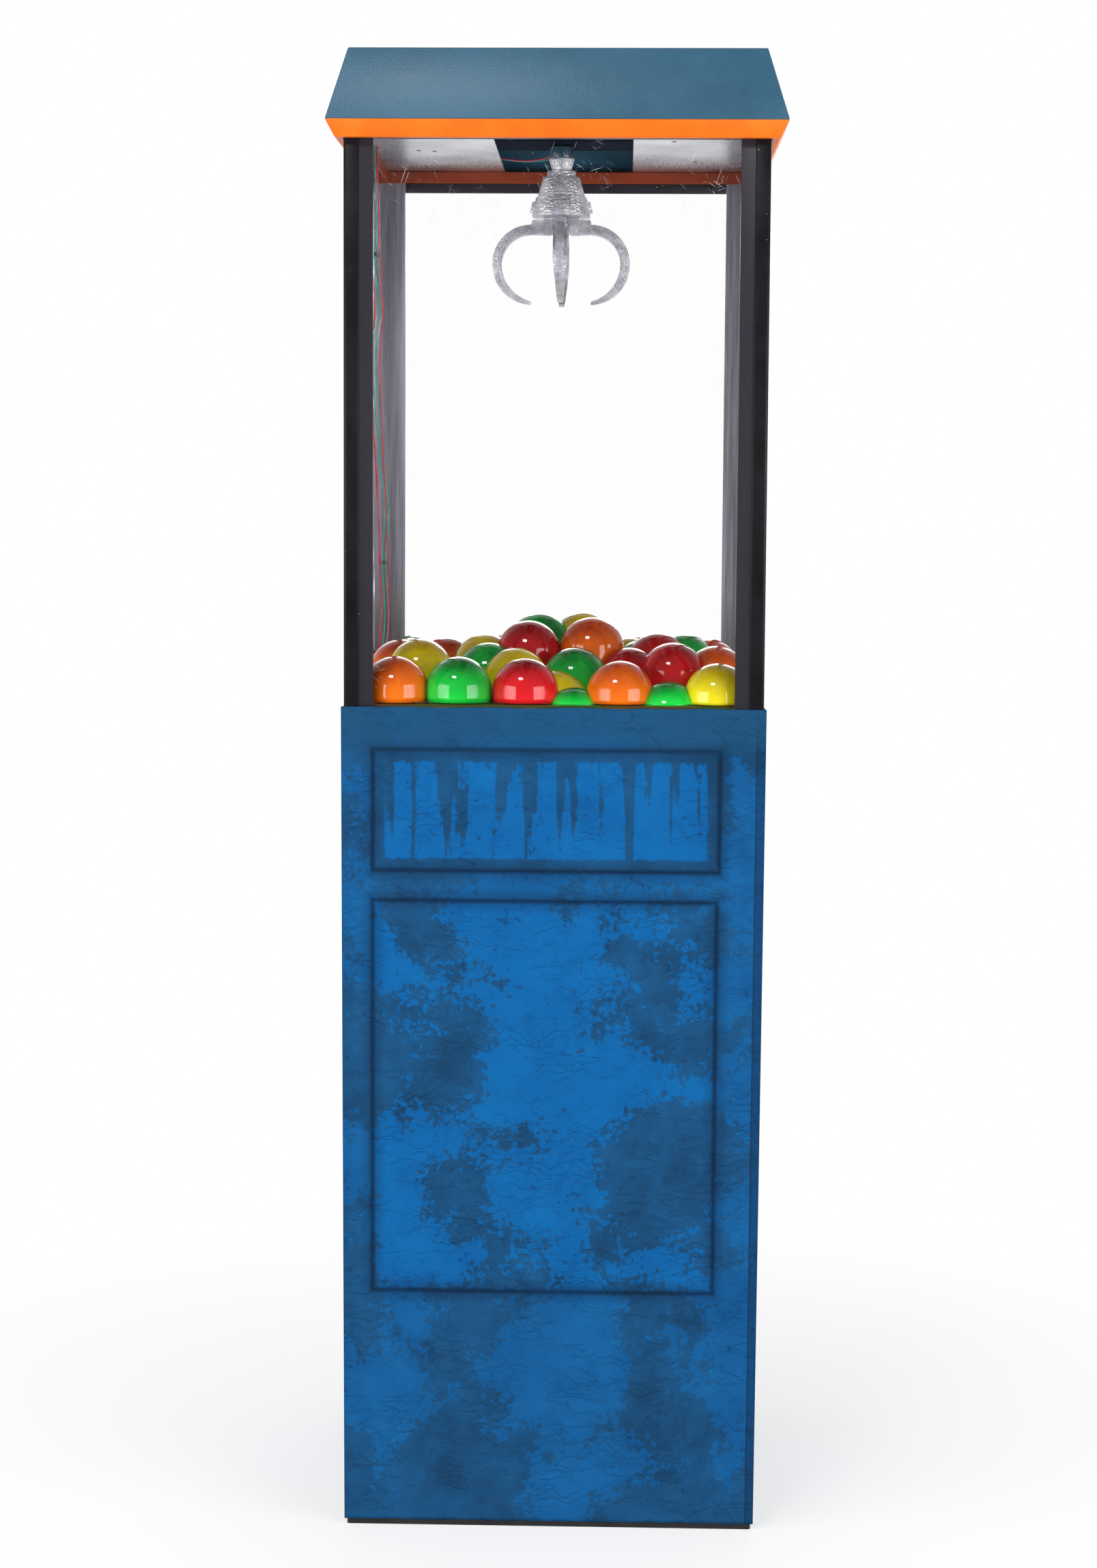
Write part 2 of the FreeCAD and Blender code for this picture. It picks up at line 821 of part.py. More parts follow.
def make_roof():
    """A hollow cap with leaning sides and a flat top."""
    roof_top = eave_level + s.roof_height
    lean = s.roof_inset / s.roof_height
    foot = (eave_half_width, eave_half_depth)
    head = (eave_half_width - s.roof_inset, eave_half_depth - s.roof_inset)
    outside = frustum("roof_outside", eave_level, foot, roof_top, head)
    below = eave_level - s.roof_wall
    hollow_foot = [half - s.roof_wall + lean * s.roof_wall for half in foot]
    hollow_head = [half - s.roof_wall + lean * s.roof_wall for half in head]
    hollow = frustum("roof_hollow", below, hollow_foot, roof_top - s.roof_wall, hollow_head)
    keep(cut("roof_cap", outside, hollow), "roof_cap")


def make_ceiling():
    """Two boards on the trim, with a gap between them for the claw and its wires."""
    half_length = eave_half_depth - s.ceiling_margin
    edge = eave_half_width - s.ceiling_margin
    for name, across in (("left", (-edge, -s.gap_left)), ("right", (s.gap_right, edge))):
        body = new_body(f"{name}_ceiling_board")
        sketch = new_sketch(body, "XY_Plane", eave_level)
        draw_rectangle(sketch, across, (-half_length, half_length))
        if name == "left":
            draw_circle(sketch, ceiling_hole_x, s.ceiling_hole_y, s.wire_hole_radius)
        pad(body, sketch, s.ceiling_thickness)


make_trim()
make_roof()
make_ceiling()

# Claw drive

def make_motor_plate():
    body = new_body("motor_plate")
    sketch = new_sketch(body, "XY_Plane", ceiling_top)
    across = (-s.gap_left - s.plate_lap, s.gap_right + s.plate_lap)
    draw_rectangle(sketch, across, (-s.plate_depth / 2, s.plate_depth / 2))
    draw_circle(sketch, 0, 0, s.shaft_radius + s.shaft_room)
    pad(body, sketch, s.plate_thickness)


def make_gearmotor():
    gearbox = new_body("gearbox")
    half = s.gearbox_width / 2
    sketch = new_sketch(gearbox, "XY_Plane", plate_top)
    draw_rectangle(sketch, (-half, half), (-half, half))
    pad(gearbox, sketch, s.gearbox_height)
    bore = new_sketch(gearbox, "XY_Plane", plate_top)
    draw_circle(bore, 0, 0, s.shaft_radius + s.running_fit)
    pocket(gearbox, bore, s.shaft_depth + s.running_fit, reverse=True)
    can = new_body("motor_can")
    sketch = new_sketch(can, "XY_Plane", gearbox_top)
    draw_circle(sketch, 0, 0, s.can_radius)
    pad(can, sketch, s.can_height)
    for side in (-1, 1):
        tab = new_sketch(can, "XY_Plane", gearbox_top + s.can_height / 2)
        middle = side * s.tab_width
        draw_rectangle(
            tab,
            (middle - s.tab_width / 2, middle + s.tab_width / 2),
            (s.can_radius - s.tab_length, s.can_radius + s.tab_length),
        )
        pad(can, tab, s.tab_thickness)


def make_shaft():
    shaft = doc.addObject("Part::Cylinder", "motor_shaft")
    low = stem_top - s.stem_grip + s.running_fit
    bind(shaft, "Radius", s.shaft_radius)
    bind(shaft, "Height", plate_top + s.shaft_depth - low)
    bind(shaft, "Placement.Base.z", low)
    keep(shaft, "motor_shaft")


make_motor_plate()
make_gearmotor()
make_shaft()

# Claw

def make_stem():
    body = new_body("claw_stem")
    sketch = new_sketch(body, "XZ_Plane")
    bore = s.shaft_radius + s.running_fit
    draw_outline(sketch, [
        (0, stem_bottom),
        (s.stem_radius, stem_bottom),
        (s.stem_radius, stem_top),
        (bore, stem_top),
        (bore, stem_top - s.stem_grip),
        (0, stem_top - s.stem_grip),
    ])
    revolve(body, sketch)


def bell_radius(level):
    """Outer radius of the bell at a height above its rim."""
    slope = (s.bell_rim_radius - s.bell_top_radius) / s.bell_height
    return s.bell_rim_radius - level * slope


def make_bell():
    """A cast bell under a waisted neck, with four sunk channels that each carry a stepped lug."""
    body = new_body("claw_bell")
    sketch = new_sketch(body, "XZ_Plane")
    draw_outline(sketch, [
        (0, bell_rim),
        (s.bell_rim_radius, bell_rim),
        (s.bell_top_radius, bell_top),
        (s.flange_radius, bell_top),
        (s.flange_radius, flange_top),
        (s.neck_waist_radius, flange_top),
        (s.neck_top_radius, stem_bottom),
        (0, stem_bottom),
    ])
    revolve(body, sketch)
    socket = new_sketch(body, "XY_Plane", bell_rim)
    socket_half = s.spigot_half + s.running_fit
    draw_rectangle(socket, (-socket_half, socket_half), (-socket_half, socket_half))
    pocket(body, socket, s.spigot_height + s.running_fit, reverse=True)
    channel = new_sketch(body, "XZ_Plane")
    spare = s.bell_height / 4
    sunk = s.channel_depth
    outside = s.bell_rim_radius + spare
    draw_outline(channel, [
        (bell_radius(-spare) - sunk, bell_rim - spare),
        (outside + spare, bell_rim - spare),
        (outside + spare, bell_top + spare),
        (bell_radius(s.bell_height + spare) - sunk, bell_top + spare),
    ])
    sunk_channel = pocket(body, channel, s.channel_width, symmetric=True)
    repeat_round(body, [sunk_channel], FINGER_COUNT)
    lug_top = s.lug_lift + s.lug_height
    cap_top = lug_top + s.lug_cap_height
    bite = s.channel_depth
    lug = new_sketch(body, "XZ_Plane")
    draw_outline(lug, [
        (bell_radius(s.lug_lift) - sunk - bite, bell_rim + s.lug_lift),
        (bell_radius(s.lug_lift) + s.lug_reach, bell_rim + s.lug_lift),
        (bell_radius(lug_top) + s.lug_reach, bell_rim + lug_top),
        (bell_radius(lug_top) - sunk - bite, bell_rim + lug_top),
    ])
    block = pad(body, lug, s.lug_width, symmetric=True)
    cap = new_sketch(body, "XZ_Plane")
    draw_outline(cap, [
        (bell_radius(lug_top) - sunk - bite, bell_rim + s.lug_lift + s.lug_height / 2),
        (bell_radius(lug_top), bell_rim + s.lug_lift + s.lug_height / 2),
        (bell_radius(cap_top), bell_rim + cap_top),
        (bell_radius(cap_top) - sunk - bite, bell_rim + cap_top),
    ])
    top_block = pad(body, cap, s.lug_cap_width, symmetric=True)
    repeat_round(body, [block, top_block], FINGER_COUNT)


def make_hub():
    """Two crossed tongues that carry the fingers, with a square spigot that goes up into the bell."""
    body = new_body("claw_hub")
    spigot = new_sketch(body, "XY_Plane", bell_rim)
    draw_rectangle(spigot, (-s.spigot_half, s.spigot_half), (-s.spigot_half, s.spigot_half))
    pad(body, spigot, s.spigot_height)
    end = s.pivot_offset + s.tongue_reach
    low = pivot_level - s.tongue_reach
    for plane in ("XZ_Plane", "YZ_Plane"):
        tongue = new_sketch(body, plane)
        draw_rectangle(tongue, (-end, end), (low, bell_rim))
        neck_half = s.pin_end_radius + s.running_fit
        for side in (-1, 1):
            draw_rectangle(
                tongue,
                (side * s.pivot_offset - neck_half, side * s.pivot_offset + neck_half),
                (pivot_level - neck_half, pivot_level + neck_half),
            )
        pad(body, tongue, s.tongue_thickness, symmetric=True)


def sweep_radius(reach, drop):
    """Radius of an arc that starts upright and moves aside by reach while it goes down by drop."""
    return (reach * reach + drop * drop) / (reach * 2)


def make_fingers():
    """Hooked fingers with a thickened inner rim and a forked knuckle on the pivot."""
    inner_radius = s.hook_radius - s.hook_width
    rim_radius = inner_radius + s.rim_width
    outer_x = s.hook_offset + s.hook_radius
    inner_x = s.hook_offset + inner_radius
    rim_x = s.hook_offset + rim_radius
    level = -s.hook_drop
    tip_x, tip_z = s.hook_offset, level - s.tip_drop
    tip_inner_x = tip_x + s.tip_width / 2
    tip_inner_z = tip_z + s.tip_width
    tip_middle_x = (tip_x + tip_inner_x) / 2
    tip_middle_z = (tip_z + tip_inner_z) / 2
    knuckle = s.knuckle_radius
    for name, turn in (("right", 0), ("rear", 90), ("left", 180), ("front", 270)):
        body = new_body(f"{name}_finger")
        web = new_sketch(body, "XZ_Plane")
        draw_outline(web, [
            (0, -knuckle),
            (s.hook_offset, level + inner_radius, inner_radius, -1),
            (inner_x, level, sweep_radius(inner_x - tip_inner_x, level - tip_inner_z), -1),
            (tip_inner_x, tip_inner_z, s.tip_round, 1),
            (tip_x, tip_z, sweep_radius(outer_x - tip_x, level - tip_z), 1),
            (outer_x, level, s.hook_radius, 1),
            (s.hook_offset, level + s.hook_radius),
            (s.shoulder_reach, s.shoulder_rise),
            (0, knuckle, knuckle, 1),
            (-knuckle, 0, knuckle, 1),
        ])
        pad(body, web, s.finger_thickness, symmetric=True)
        rim = new_sketch(body, "XZ_Plane")
        draw_outline(rim, [
            (s.hook_offset, level + inner_radius, inner_radius, -1),
            (inner_x, level, sweep_radius(inner_x - tip_inner_x, level - tip_inner_z), -1),
            (tip_inner_x, tip_inner_z),
            (tip_middle_x, tip_middle_z, sweep_radius(rim_x - tip_middle_x, level - tip_middle_z), 1),
            (rim_x, level, rim_radius, 1),
            (s.hook_offset, level + rim_radius),
        ])
        pad(body, rim, s.rim_thickness, symmetric=True)
        fork = new_sketch(body, "XZ_Plane")
        fork_half = knuckle + s.fork_room
        draw_rectangle(fork, (-fork_half, s.tongue_reach + s.fork_room), (-fork_half, fork_half))
        pocket(body, fork, s.tongue_thickness + s.fork_fit * 2, symmetric=True)
        for radius, reverse in ((s.pin_radius, True), (s.pin_end_radius, False)):
            bore = new_sketch(body, "XZ_Plane")
            draw_circle(bore, 0, 0, radius + s.running_fit)
            pocket(body, bore, s.finger_thickness, reverse=reverse)
        narrow_tip(body, level, tip_z)
        facing = Rotation(Vector(0, 0, 1), turn)
        pivot = facing.multVec(Vector(s.pivot_offset.value, 0, pivot_level.value))
        body.Placement = Placement(pivot, facing)


def narrow_tip(body, level, tip_z):
    """Trim both sides of the hook so that it narrows from its middle to the tip."""
    half_rim = s.rim_thickness / 2
    half_tip = s.tip_thickness / 2
    beyond = s.tip_width
    for side in (-1, 1):
        taper = new_sketch(body, "YZ_Plane")
        corners = [
            (side * half_rim, level),
            (side * half_tip, tip_z),
            (side * half_tip, tip_z - beyond),
            (side * (half_rim + beyond), tip_z - beyond),
            (side * (half_rim + beyond), level),
        ]
        draw_outline(taper, corners)
        pocket(body, taper, (s.hook_offset + s.hook_radius) * 3, symmetric=True)


def make_pins():
    """A stepped pin through each knuckle, with a square neck in the tongue and a square nut."""
    face = s.finger_thickness.value / 2
    neck = s.tongue_thickness.value / 2
    end = s.pin_end_radius.value
    nut = s.nut_width.value
    nut_face = face + s.running_fit.value
    tangent = Vector(0, 1, 0)
    pins = []
    for step in range(FINGER_COUNT):
        shank = Part.makeCylinder(s.pin_radius.value, face - neck, Vector(0, -face, 0), tangent)
        square_neck = Part.makeBox(2 * end, 2 * neck, 2 * end, Vector(-end, -neck, -end))
        tail = Part.makeCylinder(end, nut_face - neck, Vector(0, neck, 0), tangent)
        square_nut = Part.makeBox(
            nut, s.nut_thickness.value, nut, Vector(-nut / 2, nut_face, -nut / 2)
        )
        pin = shank.fuse([square_neck, tail, square_nut]).removeSplitter()
        pin.translate(Vector(s.pivot_offset.value, 0, pivot_level.value))
        pin.rotate(Vector(), Vector(0, 0, 1), 360 / FINGER_COUNT * step)
        pins.append(pin.Solids[0])
    solid_node("pivot_pins", pins)


make_stem()
make_bell()
make_hub()
make_fingers()
make_pins()

# Wires and their clips

# Both wires leave the battery box, come up through the deck and tray and wander up the left window.
# A climb starts with the distance behind the middle of the box and the height above the deck. Its
# other points add the distance from the window before these two. The wires then go through the ceiling
# hole, lie on the left ceiling board as far as the gap and end under the motor's tabs. A run starts
# with the distance from the window, Y, and the height above the board, and goes on with X, Y, and that
# height. A clip on the window stands behind the wires at two places: behind the box's middle, above the deck.
TEAL_CLIMB = [
    (2, -26), (30, 2.6, -26.2), (7, 2, -26), (6.6, 2.2, 7), (3, 10, 29), (2.2, 28, 47),
    (2.2, 62, 71), (2.2, 54, 101), (2.2, 24, 124), (2.2, 18, 151), (2.2, 48, 173),
    (2.2, 60, 201), (2.2, 28, 229), (2.2, -12, 257), (2.2, -50, 289), (2.2, -84, 325),
    (2.2, -116, 355), (2.2, -104, 387), (2.2, -58, 407), (2.2, -34, 423), (2.2, -36, 445),
    (2.2, -66, 459), (2.2, -90, 479), (2.2, -96, 511), (2.2, -100, 543), (2.2, -126, 569),
]
TEAL_RUN = [
    (3, -12, 9), (-180, 12, 5), (-137, 58, 1.4), (-94, 110, 1.4), (-64, 126, 0.6),
    (-44, 106, -4), (-20, 86, -5), (-2, 64, -3), (4, 44, 6), (4, 25, 10), (4, 20.6, 26),
    (4, 20.4, 42),
]
RED_CLIMB = [
    (-2, -26), (30, -2.6, -25.8), (7.4, -2, -26), (7, -1.8, 7), (5, 4, 29), (4.4, 18, 47),
    (4.4, 38, 77), (4.4, 26, 123), (4.4, 10, 169), (4.4, -12, 221), (4.4, -50, 271),
    (4.4, -80, 317), (4.4, -90, 365), (4.4, -66, 401), (4.4, -48, 423), (4.4, -64, 445),
    (4.4, -90, 471), (4.4, -96, 517), (4.4, -122, 565),
]
RED_RUN = [
    (5.4, -12, 9), (-177, 8, 5), (-134, 54, 1.4), (-91, 106, 1.4), (-64, 119, 0.6),
    (-48, 100, -4), (-26, 80, -5), (-10, 60, -3), (-4, 43, 6), (-4, 25, 10), (-4, 20.6, 26),
    (-4, 20.4, 42),
]
CLIP_PLACES = [(17, 142), (-92, 480)]


def wire_route(climb, run):
    """Points of a wire from the battery box to the motor."""
    pane = -pane_inner_x.value
    middle = box_middle_y.value
    deck = s.deck_height.value
    board = ceiling_top.value
    start_behind, start_rise = climb[0]
    hole_inset, hole_y, hole_rise = run[0]
    points = [Vector(box_left.value, middle + start_behind, deck + start_rise)]
    points += [Vector(pane + inset, middle + behind, deck + rise) for inset, behind, rise in climb[1:]]
    points.append(Vector(pane + hole_inset, hole_y, board + hole_rise))
    points += [Vector(x, y, board + rise) for x, y, rise in run[1:]]
    return points


def round_path(points):
    """A wire of straight runs joined by the largest tangent arcs that the runs allow."""
    edges = []
    radii = []
    start = points[0]
    for before, corner, after in zip(points, points[1:], points[2:]):
        back = before - corner
        ahead = after - corner
        reach = BEND_SHARE * min(back.Length, ahead.Length)
        first = corner + back.normalize() * reach
        last = corner + ahead.normalize() * reach
        turn = math.pi - back.getAngle(ahead)
        radius = reach / math.tan(turn / 2)
        bisector = (back + ahead).normalize()
        center = corner + bisector * math.hypot(reach, radius)
        middle = center - bisector * radius
        edges.append(Part.LineSegment(start, first).toShape())
        edges.append(Part.Arc(first, middle, last).toShape())
        radii.append(round(radius))
        start = last
    edges.append(Part.LineSegment(start, points[-1]).toShape())
    print("bend radii", radii)
    return Part.Wire(edges)


def make_wire(label, points):
    """A tube with a few flat sides along the points."""
    path = round_path(points)
    start = path.Edges[0].Vertexes[0].Point
    along = path.Edges[0].tangentAt(path.Edges[0].FirstParameter)
    aside = along.cross(Vector(0, 0, 1)).normalize()
    upward = aside.cross(along)
    corners = [
        start + (aside * math.cos(angle) + upward * math.sin(angle)) * s.wire_radius.value
        for angle in (2 * math.pi * side / WIRE_SIDES for side in range(WIRE_SIDES + 1))
    ]
    section = Part.makePolygon(corners)
    tube = path.makePipeShell([section], True, False)
    area = Part.Face(section).Area
    if abs(tube.Volume / (area * path.Length) - 1) > PINCH_LIMIT:
        raise RuntimeError(f"{label} is pinched")
    print(label, "length", round(path.Length), "mm")
    solid_node(label, [tube])


def make_clips():
    """Flat clips on the left window that hold the wires."""
    clips = []
    for behind, rise in CLIP_PLACES:
        y = box_middle_y.value + behind
        z = s.deck_height.value + rise
        clip = Part.makeBox(
            s.clip_thickness.value, s.clip_width.value, s.clip_height.value,
            Vector(-pane_inner_x.value, y - s.clip_width.value / 2, z - s.clip_height.value / 2),
        )
        clips.append(clip)
    solid_node("wire_clips", clips)


make_wire("red_wire", wire_route(RED_CLIMB, RED_RUN))
make_wire("teal_wire", wire_route(TEAL_CLIMB, TEAL_RUN))
make_clips()

# Check and export

doc.recompute()
for item in doc.Objects:
    if "Invalid" in item.State or "Error" in item.State:
        raise RuntimeError(f"{item.Label} failed: {item.State}")
for item in parts:
    if item.Shape.isNull() or not item.Shape.isValid():
        raise RuntimeError(f"{item.Label} has no valid shape")

os.makedirs("parts", exist_ok=True)
for item in parts:
    item.Shape.exportStep(f"parts/{item.Label}.step")
print(len(parts), "nodes")
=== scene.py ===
# %% [markdown]
# A standing claw machine prop, dressed for the camera.
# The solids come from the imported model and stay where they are. This lesson gives every surface its
# finish, rounds the castings, forms the half balls, hangs the creased cloth and runs the wires.
# All lengths are in metres; a length written with MM is in millimetres on the real object.

# %% Load the frame
import json
import math

import bmesh
import bpy
from mathutils import Matrix, Vector, noise


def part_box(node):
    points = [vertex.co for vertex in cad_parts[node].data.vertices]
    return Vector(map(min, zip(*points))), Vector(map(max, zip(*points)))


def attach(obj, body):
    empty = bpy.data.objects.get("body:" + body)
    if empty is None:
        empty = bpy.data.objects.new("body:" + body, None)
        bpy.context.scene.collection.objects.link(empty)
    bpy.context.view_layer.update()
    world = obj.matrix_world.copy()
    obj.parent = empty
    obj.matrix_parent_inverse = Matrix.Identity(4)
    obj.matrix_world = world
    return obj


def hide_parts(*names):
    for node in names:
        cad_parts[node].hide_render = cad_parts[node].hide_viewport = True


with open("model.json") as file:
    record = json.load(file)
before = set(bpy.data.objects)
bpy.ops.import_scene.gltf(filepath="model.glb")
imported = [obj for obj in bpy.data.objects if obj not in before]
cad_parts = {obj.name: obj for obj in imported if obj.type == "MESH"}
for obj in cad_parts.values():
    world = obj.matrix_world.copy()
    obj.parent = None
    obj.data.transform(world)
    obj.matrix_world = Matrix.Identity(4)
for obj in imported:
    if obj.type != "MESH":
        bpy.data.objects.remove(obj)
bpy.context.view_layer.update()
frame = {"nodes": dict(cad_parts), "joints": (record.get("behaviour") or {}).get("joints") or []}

MM = 0.001
scene = bpy.context.scene

# %% [markdown]
# The camera stands three metres in front of the machine, at about chest height. Its place and its three
# turns were fitted to the photograph, so they are written as real lengths and angles, and the lens
# follows from the focal length in pixels.

# %% Camera
PHOTO_HEIGHT = 2296
FOCAL_PIXELS = 4134
SENSOR = 36.0
CAMERA_PLACE = Vector((70.3, -3091.8, 1058.1)) * MM
CAMERA_YAW = math.radians(1.49)
CAMERA_PITCH = math.radians(5.44)
CAMERA_ROLL = math.radians(0.36)


def camera_axes():
    """Right, up and backward directions of the camera."""
    right = Vector((math.cos(CAMERA_YAW), math.sin(CAMERA_YAW), 0))
    ahead = Vector((-math.sin(CAMERA_YAW), math.cos(CAMERA_YAW), 0))
    forward = ahead * math.cos(CAMERA_PITCH) - Vector((0, 0, 1)) * math.sin(CAMERA_PITCH)
    upward = ahead * math.sin(CAMERA_PITCH) + Vector((0, 0, 1)) * math.cos(CAMERA_PITCH)
    turned_right = right * math.cos(CAMERA_ROLL) + upward * math.sin(CAMERA_ROLL)
    turned_up = upward * math.cos(CAMERA_ROLL) - right * math.sin(CAMERA_ROLL)
    return turned_right, turned_up, -forward


camera = bpy.data.objects.new("camera", bpy.data.cameras.new("camera"))
camera.data.sensor_fit = "VERTICAL"
camera.data.sensor_height = SENSOR
camera.data.lens = SENSOR * FOCAL_PIXELS / PHOTO_HEIGHT
camera.matrix_world = Matrix.Translation(CAMERA_PLACE) @ Matrix(camera_axes()).transposed().to_4x4()
scene.collection.objects.link(camera)
scene.camera = camera
print("lens", round(camera.data.lens, 1), "mm")

# %% [markdown]
# Every finish is a small node tree. One function turns a hex colour into linear light, one adds a node
# with its settings and links, and one starts a material from the values that are the same all over it.
# Patterns read Object coordinates in metres, so a pattern's scale is one over its real size. The kinds of
# node that come back again and again, and their settings, get short names here.

# %% Node helpers
CLOUDS = "ShaderNodeTexNoise"
CELLS = "ShaderNodeTexVoronoi"
RANGE = "ShaderNodeMapRange"
MATH = "ShaderNodeMath"
BLEND = "ShaderNodeMix"
STRETCH = "ShaderNodeMapping"
SPLIT = "ShaderNodeSeparateXYZ"
BUMP = "ShaderNodeBump"
PLUS = {"operation": "ADD"}
MINUS = {"operation": "SUBTRACT"}
TIMES = {"operation": "MULTIPLY"}
LARGER = {"operation": "MAXIMUM"}
SMALLER = {"operation": "MINIMUM"}
UNSIGNED = {"operation": "ABSOLUTE"}
COLOURS = {"data_type": "RGBA"}


def linear(code):
    """Linear RGBA from an sRGB hex colour."""
    channels = [int(code[place:place + 2], 16) / 255 for place in (1, 3, 5)]
    lit = [c / 12.92 if c <= 0.04045 else ((c + 0.055) / 1.055) ** 2.4 for c in channels]
    return (*lit, 1)


def fill_sockets(tree, node, values):
    """Set or link a node's inputs, by name or in the order of the enabled ones.

    A value is a plain one, a hex colour, a socket, or a node, which stands for its first enabled output.
    """
    enabled = [socket for socket in node.inputs if socket.enabled]
    pairs = values.items() if isinstance(values, dict) else zip(enabled, values)
    for target, value in pairs:
        socket = node.inputs[target] if isinstance(target, str) else target
        if isinstance(value, bpy.types.Node):
            value = next(output for output in value.outputs if output.enabled)
        if isinstance(value, bpy.types.NodeSocket):
            tree.links.new(value, socket)
        elif isinstance(value, str):
            socket.default_value = linear(value)
        else:
            socket.default_value = value


def add_node(tree, kind, settings=None, values=()):
    """Add a node, set its properties, and fill or link its inputs."""
    node = tree.nodes.new(kind)
    for name, value in (settings or {}).items():
        setattr(node, name, value)
    fill_sockets(tree, node, values)
    return node


def start_material(name, values):
    """A material with one shader: gives its tree, the shader and the Object coordinates."""
    material = bpy.data.materials.new(name)
    material.use_nodes = True
    tree = material.node_tree
    shader = tree.nodes["Principled BSDF"]
    fill_sockets(tree, shader, values)
    place = add_node(tree, "ShaderNodeTexCoord").outputs["Object"]
    return material, tree, shader, place


def per_size(millimetres):
    """Texture scale of a pattern whose features have this size."""
    return 1 / (millimetres * MM)


print("linear light of mid grey", round(linear("#808080")[0], 3))

# %% [markdown]
# The roof is a board shell under a grey-blue textured paint. Rolled paint leaves a fine orange-peel
# grain, which gives the eye a soft broken highlight, and the colour drifts a little from patch to patch.
# Paler specks on the peaks of the grain are a painted sparkle.

# %% Roof paint


def make_roof_paint():
    material, tree, shader, place = start_material("rolled_grey_blue_paint", {"Specular IOR Level": 0.5})
    drift = add_node(tree, CLOUDS, {}, [place, per_size(90), 3, 0.6])
    grain = add_node(tree, CLOUDS, {}, [place, per_size(1.6), 2, 0.6])
    patchy = add_node(tree, RANGE, {}, [drift, 0.3, 0.7])
    colour = add_node(tree, BLEND, COLOURS, [patchy, "#28536B", "#2F617B"])
    # Painted sparkle: the grain's peaks are paled towards a light grey-blue.
    dust_and_sparkle = add_node(tree, RANGE, {}, [grain, 0.6, 0.75, 0, 0.45])
    fill_sockets(tree, shader, {
        "Base Color": add_node(tree, BLEND, COLOURS, [dust_and_sparkle, colour, "#54798E"]),
        "Roughness": add_node(tree, RANGE, {}, [drift, 0.3, 0.7, 0.36, 0.46]),
        "Normal": add_node(tree, BUMP, {}, {"Height": grain, "Distance": 0.3 * MM}),
    })
    return material


finish = {"roof": make_roof_paint()}
print("made", finish["roof"].name)

# %% [markdown]
# The trim is a board painted a warm orange with a brush. The paint is nearly flat, with faint streaks
# along the board and a slightly darker drift. Its inner faces are a darker red-brown, partly undercoat
# and partly painted shade, as they lie in the shadow of the roof.

# %% Trim paint
TRIM_INSIDE = 205 * MM
COLOUR_EDGE = 0.5 * MM


def make_trim_paint():
    material, tree, shader, place = start_material("brushed_orange_enamel", {
        "Specular IOR Level": 0.3, "Roughness": 0.42,
    })
    drift = add_node(tree, CLOUDS, {}, [place, per_size(60), 3, 0.55])
    streaks = add_node(tree, STRETCH, {}, {"Vector": place, "Scale": (0.06, 0.06, 1)})
    bristle = add_node(tree, CLOUDS, {}, [streaks, per_size(0.9), 2, 0.5])
    split = add_node(tree, SPLIT, {}, [place]).outputs
    from_middle = [add_node(tree, MATH, UNSIGNED, [split[axis]]) for axis in ("X", "Y")]
    outermost = add_node(tree, MATH, LARGER, from_middle)
    # The inner faces' red-brown is partly undercoat and partly painted shade.
    inner = add_node(tree, RANGE, {}, [outermost, TRIM_INSIDE, TRIM_INSIDE - COLOUR_EDGE])
    patchy = add_node(tree, RANGE, {}, [drift, 0.3, 0.7])
    colour = add_node(tree, BLEND, COLOURS, [patchy, "#F2660C", "#FF7C18"])
    fill_sockets(tree, shader, {
        "Base Color": add_node(tree, BLEND, COLOURS, [inner, colour, "#8E3A22"]),
        "Normal": add_node(tree, BUMP, {}, {"Height": bristle, "Distance": 0.12 * MM}),
    })
    return material


finish["trim"] = make_trim_paint()
print("made", finish["trim"].name)

# %% [markdown]
# The posts are extruded plastic angles in satin near-black. A satin skin shows broad soft highlights,
# and years of handling leave pale dust specks on it. The inner band of each post is a little greyer, and
# it starts where the smaller of the distances from the middle falls below its edge. The rear posts' faces
# that look into the case are painted a streaky lavender grey, a painted reflection that stands for the
# light scattered by the front sheet in front of them; four limits mark those faces.

# %% Frame plastic
BAND_EDGE = 199.8 * MM
POST_INSIDE = 184 * MM
REAR_FACE = 206.9 * MM
REAR_POSTS = 100 * MM


